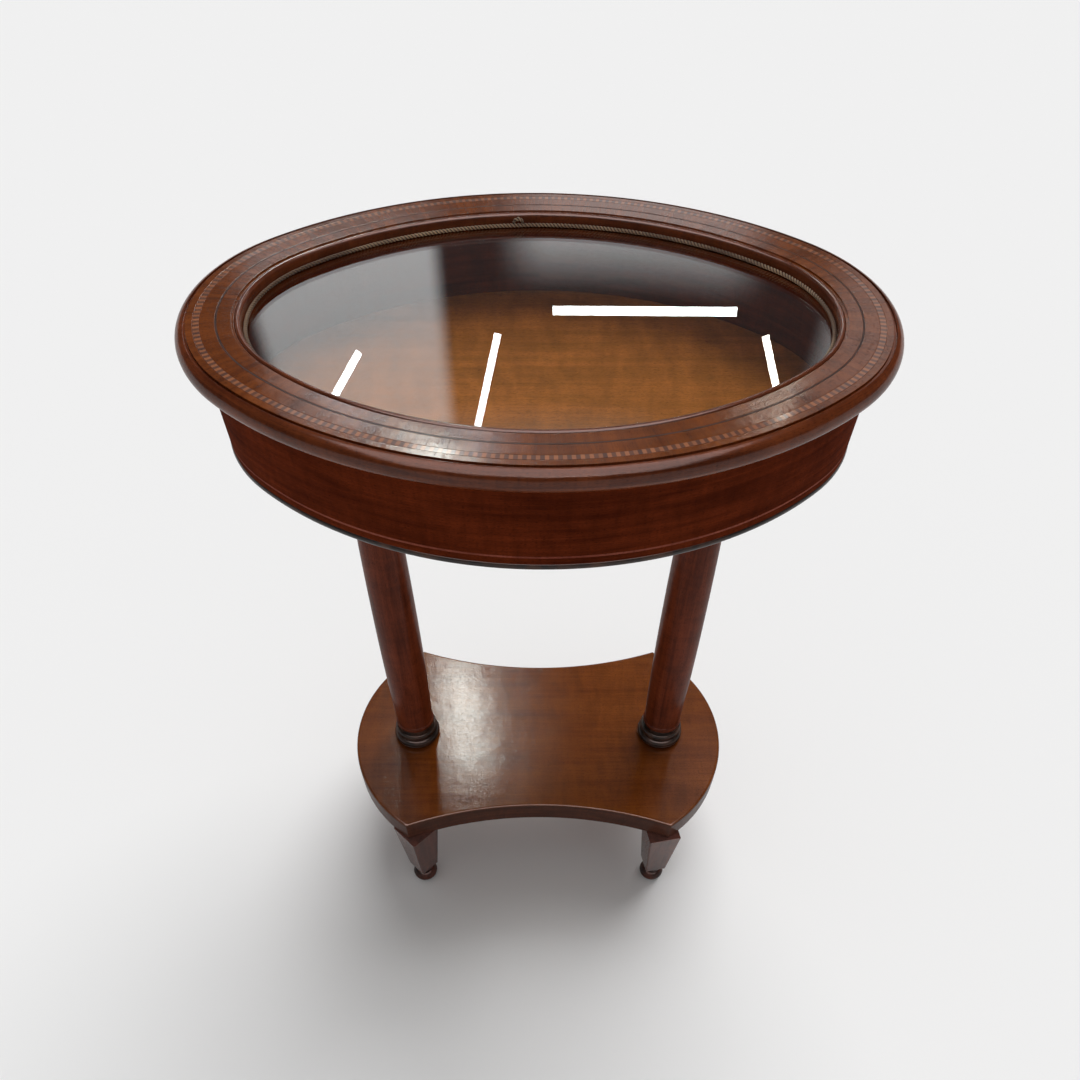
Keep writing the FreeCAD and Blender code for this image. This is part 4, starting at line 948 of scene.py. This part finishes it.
def make_feet():
    """Square tapered feet, arris forward, on turned dark pads."""
    x, y = FOOT_CENTRE
    shrink = FOOT_HALF_SOLE - FOOT_HALF_TOP
    for place, centre, turn in (
        ("front_left", (-x, -y), FOOT_TURN), ("front_right", (x, -y), SLEWED_FOOT_TURN),
        ("back_left", (-x, y), FOOT_TURN), ("back_right", (x, y), FOOT_TURN),
    ):
        stations = square_stations(centre, FOOT_HALF_TOP, FOOT_ARRIS, turn)
        side = trace([
            (-WIDE_MARGIN, SHELF_UNDERSIDE), (0, SHELF_UNDERSIDE),
            (shrink, PAD_HEIGHT), (shrink - NARROW_MARGIN, PAD_HEIGHT),
        ])
        foot = run_profile(f"foot_{place}_cut", stations, soften(side, 0.5, closed=False), capped=True)
        finish_piece(foot, "table", "mahogany_solid", FOOT_WOOD, f"foot_{place}")
        turned_piece(f"foot_pad_{place}", centre, "ebonised_wood", PAD_WOOD, [
            (0, 0), (PAD_SOLE, 0), (PAD_BELLY_ROOT, PAD_BELLY_FOOT, PAD_BELLY_CURVE),
            (PAD_BELLY_ROOT, PAD_BELLY_TOP), (PAD_GROOVE, PAD_BELLY_TOP), (PAD_GROOVE, PAD_COLLAR_FOOT),
            (PAD_COLLAR, PAD_COLLAR_FOOT), (PAD_COLLAR, PAD_HEIGHT),
            (PAD_SPIGOT_RADIUS, PAD_HEIGHT), (PAD_SPIGOT_RADIUS, PAD_SPIGOT_TOP), (0, PAD_SPIGOT_TOP),
        ], rounding=0.4, steps=PAD_STEPS)


# Geometry Nodes: the banding's blocks, the cord's plies and the screws.

SOCKET_KINDS = {
    int: "NodeSocketInt", float: "NodeSocketFloat", bpy.types.Material: "NodeSocketMaterial",
}


def start_tree(name, sizes):
    """A tree with a geometry input, named inputs and a geometry output, and its inputs."""
    tree = bpy.data.node_groups.new(name, "GeometryNodeTree")
    tree.interface.new_socket("Geometry", in_out="INPUT", socket_type="NodeSocketGeometry")
    for label, given in sizes.items():
        kind = SOCKET_KINDS.get(type(given), "NodeSocketObject")
        tree.interface.new_socket(label, in_out="INPUT", socket_type=kind)
    tree.interface.new_socket("Geometry", in_out="OUTPUT", socket_type="NodeSocketGeometry")
    return tree, add(tree, "NodeGroupInput").outputs


def end_tree(tree, geometry, material):
    """End a tree with real instances in their material."""
    real = add(tree, "GeometryNodeRealizeInstances", {"Geometry": geometry})
    coated = add(tree, "GeometryNodeSetMaterial", {"Geometry": real, "Material": material})
    add(tree, "NodeGroupOutput", {"Geometry": coated})


def grow(piece, tree, sizes):
    """Run a tree on a piece with these inputs and keep the result as a plain mesh."""
    modifier = piece.modifiers.new(tree.name, "NODES")
    modifier.node_group = tree
    for item in tree.interface.items_tree:
        if item.in_out == "INPUT" and item.name in sizes:
            modifier[item.identifier] = sizes[item.name]
    settle(piece)
    face_outward(piece.data)


def line_piece(name, rows):
    """A piece of bare lines for a tree to build on. Each row is (points in millimetres, closed)."""
    points = []
    edges = []
    for row, closed in rows:
        first = len(points)
        points.extend(point * MM for point in row)
        edges.extend((first + step, first + step + 1) for step in range(len(row) - 1))
        if closed:
            edges.append((len(points) - 1, first))
    mesh = bpy.data.meshes.new(name)
    mesh.from_pydata(points, edges, [])
    return new_object(name, mesh)


def oval_line(inset, height):
    """The oval moved inward, at a height."""
    return [
        place - outward * inset + Vector((0, 0, height))
        for place, outward, distance in oval_stations()
    ]


def make_banding():
    """Alternate light and dark blocks, square to the band and flush with the top, on a strip."""
    sizes = {
        "Pairs": BANDING_PAIRS, "Light block": LIGHT_BLOCK * MM, "Dark block": DARK_BLOCK * MM,
        "Width": BLOCK_WIDTH * MM, "Depth": BLOCK_DEPTH * MM, "Seed": 4, "Wood": BANDING_WOOD,
    }
    tree, given = start_tree("dentil_blocks", sizes)
    line = add(tree, "GeometryNodeMeshToCurve", {"Mesh": given["Geometry"]})
    count = add(tree, MATH, [given["Pairs"], 2.0], operation="MULTIPLY")
    spaced = add(tree, "GeometryNodeResampleCurve", {"Curve": line, "Count": count})
    is_dark = add(tree, MATH, [add(tree, "GeometryNodeInputIndex"), 2.0], operation="MODULO")
    is_light = add(tree, MATH, [1.0, is_dark], operation="SUBTRACT")
    turn = add(tree, "FunctionNodeAlignRotationToVector", {
        "Vector": add(tree, "GeometryNodeInputTangent"),
    }, axis="X")
    parts = []
    for length, chosen, lowest, highest in (
        (given["Light block"], is_light, 0.62, 1.0), (given["Dark block"], is_dark, 0.0, 0.2),
    ):
        size = add(tree, "ShaderNodeCombineXYZ", [length, given["Width"], given["Depth"]])
        placed = add(tree, "GeometryNodeInstanceOnPoints", {
            "Points": spaced, "Selection": chosen, "Rotation": turn,
            "Instance": add(tree, "GeometryNodeMeshCube", {"Size": size}),
        })
        tone = add(tree, "FunctionNodeRandomValue", {
            LOWEST: lowest, HIGHEST: highest, "Seed": given["Seed"],
        }, data_type="FLOAT")
        parts.append(add(tree, "GeometryNodeStoreNamedAttribute", {
            "Geometry": placed, "Name": "tone", "Value": tone,
        }, data_type="FLOAT", domain="INSTANCE"))
    end_tree(tree, add(tree, "GeometryNodeJoinGeometry", [parts]), given["Wood"])
    line = oval_line(BANDING_INSET, TOP - BLOCK_DEPTH / 2)
    banding = line_piece("dentil_banding_blocks", [(line, True)])
    grow(banding, tree, sizes)
    finish_piece(banding, "lid", "boxwood_inlay", BANDING_WOOD, "dentil_banding")
    bed = TOP - INLAY_DEPTH
    outer, inner = inlay_sides(BANDING_INSET, BANDING_WIDTH - 2 * GLUE_LINE)
    oval_piece("dentil_banding", "lid", "boxwood_inlay", MOULDING, [
        (outer, bed), (outer, STRIP_TOP), (inner, STRIP_TOP), (inner, bed),
    ], rounding=0.1)


def make_cord():
    """Two plies laid round each other in the corner on the glass, with a small loop at the back."""
    line = oval_line(CORD_INSET, CORD_HEIGHT)
    length = sum((there - here).length for here, there in zip(line, line[1:] + line[:1]))
    sizes = {
        "Spacing": CORD_SPACING * MM, "Lay": length / CORD_TURNS * MM,
        "Ply radius": CORD_PLY_RADIUS * MM, "Lay radius": CORD_LAY_RADIUS * MM, "Fibre": CORD_FIBRE,
    }
    tree, given = start_tree("twisted_cord", sizes)
    curve = add(tree, "GeometryNodeMeshToCurve", {"Mesh": given["Geometry"]})
    spaced = add(tree, "GeometryNodeResampleCurve", {
        "Curve": curve, "Length": given["Spacing"],
    }, mode="LENGTH")
    along = add(tree, "GeometryNodeSplineParameter").outputs["Length"]
    turns = add(tree, MATH, [along, given["Lay"]], operation="DIVIDE")
    tangent = add(tree, "GeometryNodeInputTangent")
    side = add(tree, VECTOR_MATH, [tangent, (0, 0, 1)], operation="CROSS_PRODUCT")
    section = add(tree, "GeometryNodeCurvePrimitiveCircle", {"Resolution": 8, "Radius": given["Ply radius"]})
    # Painted shade: points of the plies near the cord's middle line, between the plies, store a low tone and
    # are coloured dark.
    off_line = add(tree, "GeometryNodeProximity", [given["Geometry"]], target_element="EDGES")
    tone = add(tree, RANGE, [off_line.outputs["Distance"], CORD_GROOVE * MM, CORD_CREST * MM])
    plies = []
    for start in (0.0, 0.5):
        turned = add(tree, MATH, [turns, start], operation="ADD")
        angle = add(tree, MATH, [turned, 2 * math.pi], operation="MULTIPLY")
        sideways = add(tree, MATH, [angle], operation="SINE")
        upward = add(tree, "ShaderNodeCombineXYZ", {"Z": add(tree, MATH, [angle], operation="COSINE")})
        across = add(tree, VECTOR_MATH, {0: side, "Scale": sideways}, operation="SCALE")
        both = add(tree, VECTOR_MATH, [across, upward], operation="ADD")
        shift = add(tree, VECTOR_MATH, {0: both, "Scale": given["Lay radius"]}, operation="SCALE")
        ply = add(tree, "GeometryNodeSetPosition", {"Geometry": spaced, "Offset": shift})
        tube = add(tree, "GeometryNodeCurveToMesh", {
            "Curve": ply, "Profile Curve": section, "Fill Caps": True,
        })
        plies.append(add(tree, "GeometryNodeStoreNamedAttribute", {
            "Geometry": tube, "Name": "tone", "Value": tone,
        }, data_type="FLOAT", domain="POINT"))
    joined = add(tree, "GeometryNodeJoinGeometry", [plies])
    end_tree(tree, add(tree, "GeometryNodeSetShadeSmooth", {"Geometry": joined}), given["Fibre"])
    loop = []
    for degrees in range(165, 14, -15):
        x = CORD_LOOP_X + CORD_LOOP_HALF_WIDTH * math.cos(math.radians(degrees))
        z = CORD_HEIGHT + CORD_LOOP_RISE * math.sin(math.radians(degrees))
        loop.append(Vector((x, line[0].y, z)))
    cord = line_piece("glass_cord_plies", [(line, True), (loop, False)])
    grow(cord, tree, sizes)
    finish_piece(cord, "lid", "twisted_cord", CORD_FIBRE, "glass_cord")


def make_screws():
    """Slotted countersunk screws, each turned to its own angle."""
    tree, given = start_tree("slotted_screws", {"Screw": None, "Turn over": 0.0, "Seed": 1, "Metal": BRASS})
    shape = add(tree, "GeometryNodeObjectInfo", {"Object": given["Screw"]}).outputs["Geometry"]
    slot_turn = add(tree, "FunctionNodeRandomValue", {
        LOWEST: 0.0, HIGHEST: math.pi, "Seed": given["Seed"],
    }, data_type="FLOAT")
    turn = add(tree, "ShaderNodeCombineXYZ", {"X": given["Turn over"], "Z": slot_turn})
    end_tree(tree, add(tree, "GeometryNodeInstanceOnPoints", {
        "Points": given["Geometry"], "Instance": shape, "Rotation": turn,
    }), given["Metal"])
    hinge_spots = [
        (middle + step * HINGE_SCREW_STEP, HINGE_SCREW_Y)
        for middle in HINGE_MIDDLES
        for step in (-1, 0, 1)
    ]
    for name, body, slot, metal, spots, height, turned_over, (shank, head, length) in (
        ("hinge_screws_lid", "lid", "brass", BRASS, hinge_spots, LID_UNDERSIDE, True, HINGE_SCREW),
        ("hinge_screws_case", "table", "brass", BRASS, hinge_spots, FRIEZE_TOP, False, HINGE_SCREW),
        (
            "case_bottom_screws", "table", "steel", STEEL, BOARD_SCREW_SPOTS, BOARD_UNDERSIDE, True,
            BOARD_SCREW,
        ),
    ):
        screw = turn_profile("screw", (0, 0), trace([
            (0, 0), (0, -length), (SCREW_TIP, -length),
            (POINT_RADIUS * shank, POINT_LENGTH * shank - length), (shank, shank - head), (head, 0),
        ]), SCREW_STEPS)
        side = SLOT_HALF_WIDTH * head
        cut_boxes(screw, [((-2 * head, -side, -SLOT_DEPTH * head), (2 * head, side, 1))])
        piece = line_piece(f"{name}_slotted", [([Vector((x, y, height))], False) for x, y in spots])
        grow(piece, tree, {
            "Screw": screw, "Turn over": math.pi if turned_over else 0.0, "Seed": 7, "Metal": metal,
        })
        bpy.data.objects.remove(screw)
        finish_piece(piece, body, slot, metal, name)


# The studio, in metres.

FLOOR_GREY = "#f0f0f0"
FLOOR_RADIUS = 40
DOME_RADIUS = 8
DOME_FOOT = 1.5
DOME_GLOW = 0.07
WORLD_LIGHT = 0.33
KEY_POWER = 2.65
KEY_WIDTH = math.radians(50)
KEY_PLACE = Vector((0.9, 2.1, 3.0))
KEY_FACING = Vector((-0.3, -0.7, -1.0))

# Soft pale patches on the dark dome, in degrees: bearing from straight back, half width,
# rise, half height, softness, strength.
SOFT_PATCHES = (
    (-13.7, 6.6, 27.5, 6.0, 0.8, 1.5),
    (7.0, 8.0, 20.8, 2.5, 2.2, 1.35),
    (25.5, 4.0, 26.0, 4.5, 1.2, 0.9),
    (-2.0, 12.0, 35.5, 2.5, 1.5, 0.3),
    (-26.0, 8.0, 52.0, 6.0, 4.0, 0.5),
    (26.0, 8.0, 52.0, 5.0, 3.0, 0.6),
)

# Lamps that only reflections see: name, one end, other end, width, radiance, colour.
STRIPS = (
    ("ceiling", (0.0, -2.40, 2.60), (0.0, 0.90, 4.00), 4.0, 5.5, (1.0, 0.78, 0.74)),
    ("picture_rail", (-1.2, -2.30, 2.78), (1.2, -2.30, 2.78), 0.06, 16.0, (1.0, 0.86, 0.80)),
    ("shelf_window", (-0.395, 2.10, 2.33), (-0.33, 1.66, 2.72), 0.16, 29.0, (0.95, 1.0, 0.93)),
    ("strip_left", (-0.71, 2.52, 2.15), (-0.83, 2.36, 2.28), 0.028, 25.0, (0.86, 0.94, 1.0)),
    ("strip_middle", (-0.16, 2.62, 2.14), (-0.26, 2.28, 2.42), 0.028, 25.0, (0.86, 0.94, 1.0)),
    ("strip_right", (0.92, 2.55, 2.10), (0.99, 2.28, 2.30), 0.028, 25.0, (1.0, 0.96, 0.84)),
    ("strip_across", (0.06, 2.50, 1.972), (0.76, 2.50, 1.972), 0.031, 20.0, (0.92, 1.0, 1.0)),
)


def make_floor():
    """A pale painted floor without an end, which keeps the table's shadow."""
    floor_mesh = bpy.data.meshes.new("floor")
    shell = bmesh.new()
    bmesh.ops.create_circle(shell, cap_ends=True, segments=64, radius=FLOOR_RADIUS)
    shell.to_mesh(floor_mesh)
    shell.free()
    material, tree = start_material("painted_floor")
    place = add(tree, COORDINATES).outputs["Object"]
    tooth = add(tree, NOISE, {"Vector": place, "Scale": 40.0, "Detail": 2.0})
    bump = add(tree, BUMP, {"Strength": 0.05, "Distance": 0.0005, "Height": tooth})
    floor_mesh.materials.append(end_material(material, {
        "Base Color": FLOOR_GREY, "Roughness": 0.9, "Specular IOR Level": 0.0, "Normal": bump,
    }))
    floor = new_object("floor", floor_mesh)


def dome_cloth():
    """Dark cloth that glows a little, with soft pale patches where windows and walls would be."""
    material, tree = start_material("dark_cloth_dome")
    place = add(tree, COORDINATES).outputs["Object"]
    sight = add(tree, VECTOR_MATH, [place, (0, 0, TOP * MM)], operation="SUBTRACT")
    sight = add(tree, VECTOR_MATH, [sight], operation="NORMALIZE")
    axes = add(tree, "ShaderNodeSeparateXYZ", [sight]).outputs
    bearing = add(tree, MATH, [axes["X"], axes["Y"]], operation="ARCTAN2")
    rise = add(tree, MATH, [axes["Z"]], operation="ARCSINE")
    glow = DOME_GLOW
    for patch_bearing, half_width, patch_rise, half_height, soft, strength in SOFT_PATCHES:
        mask = strength
        for angle, middle, half in (
            (bearing, patch_bearing, half_width), (rise, patch_rise, half_height),
        ):
            off = add(tree, MATH, [angle, math.radians(middle)], operation="SUBTRACT")
            off = add(tree, MATH, [off], operation="ABSOLUTE")
            inside = add(tree, RANGE, [
                off, math.radians(half + soft), math.radians(half - soft),
            ], interpolation_type="SMOOTHSTEP")
            mask = add(tree, MATH, [inside, mask], operation="MULTIPLY")
        glow = add(tree, MATH, [mask, glow], operation="ADD")
    cloth = add(tree, "ShaderNodeEmission", {"Color": "#f2f3f5", "Strength": glow})
    add(tree, "ShaderNodeOutputMaterial", {"Surface": cloth})
    return material


def make_dome():
    """A dark dome over the floor, which only reflections and refractions see."""
    dome_mesh = bpy.data.meshes.new("dome")
    shell = bmesh.new()
    bmesh.ops.create_uvsphere(shell, u_segments=48, v_segments=32, radius=DOME_RADIUS)
    low = [face for face in shell.faces if face.calc_center_median().z < DOME_FOOT]
    bmesh.ops.delete(shell, geom=low, context="FACES")
    shell.to_mesh(dome_mesh)
    shell.free()
    dome_mesh.materials.append(dome_cloth())
    dome = new_object("dome", dome_mesh)
    dome.visible_camera = False
    dome.visible_diffuse = False
    dome.visible_shadow = False


def make_world():
    """Even light from all round, pale wherever the eye, a mirror or the glass meets it."""
    world = bpy.data.worlds.new("studio")
    bpy.context.scene.world = world
    world.use_nodes = True
    tree = world.node_tree
    tree.nodes.clear()
    path = add(tree, "ShaderNodeLightPath").outputs
    seen = add(tree, MATH, [path["Is Camera Ray"], path["Is Glossy Ray"]], operation="MAXIMUM")
    seen = add(tree, MATH, [seen, path["Is Transmission Ray"]], operation="MAXIMUM")
    light = add(tree, "ShaderNodeBackground", {"Color": "#ffffff", "Strength": WORLD_LIGHT})
    backdrop = add(tree, "ShaderNodeBackground", {"Color": FLOOR_GREY, "Strength": 1.0})
    both = add(tree, "ShaderNodeMixShader", [seen, light, backdrop])
    add(tree, "ShaderNodeOutputWorld", {"Surface": both})


def stand_lamp(name, data, place, facing, upright):
    """Stand a lamp at a place, shining along a direction, with its long side along another."""
    back = -facing.normalized()
    side = upright.cross(back).normalized()
    turn = Matrix((side, back.cross(side), back)).transposed()
    lamp = new_object(name, data)
    lamp.matrix_world = Matrix.Translation(place) @ turn.to_4x4()
    lamp.visible_camera = False
    lamp.visible_transmission = False
    return lamp


def make_lamps():
    """One broad key from the upper right and back, and the lamps that only reflections see."""
    data = bpy.data.lights.new("key", "SUN")
    data.energy = KEY_POWER
    data.angle = KEY_WIDTH
    key = stand_lamp("key", data, KEY_PLACE, KEY_FACING, Vector((1, 0, 0)))
    key.visible_glossy = False
    for name, near_end, far_end, width, radiance, colour in STRIPS:
        span = Vector(far_end) - Vector(near_end)
        middle = (Vector(far_end) + Vector(near_end)) / 2
        data = bpy.data.lights.new(name, "AREA")
        data.shape = "RECTANGLE"
        data.size = width
        data.size_y = span.length
        data.energy = radiance * math.pi * width * span.length
        data.color = colour
        lamp = stand_lamp(name, data, middle, Vector((0, 0, TOP * MM)) - middle, span)
        lamp.visible_diffuse = False


make_camera()
bpy.context.scene.view_settings.view_transform = "Standard"
make_floor()
make_dome()
make_world()
make_lamps()

make_lid()
make_banding()
make_cord()
make_case()
make_columns()
make_shelf()
make_feet()
make_screws()
dress_node("glazing_bead", MOULDING)
dress_node("case_bottom", PLAIN_WOOD)
dress_node("case_floor", FLOOR_VENEER)
dress_node("foot_dowels", PLAIN_WOOD)
for side in ("left", "right"):
    for metalwork in ("leaf_lid", "leaf_case", "pin"):
        dress_node(f"hinge_{metalwork}_{side}", BRASS)
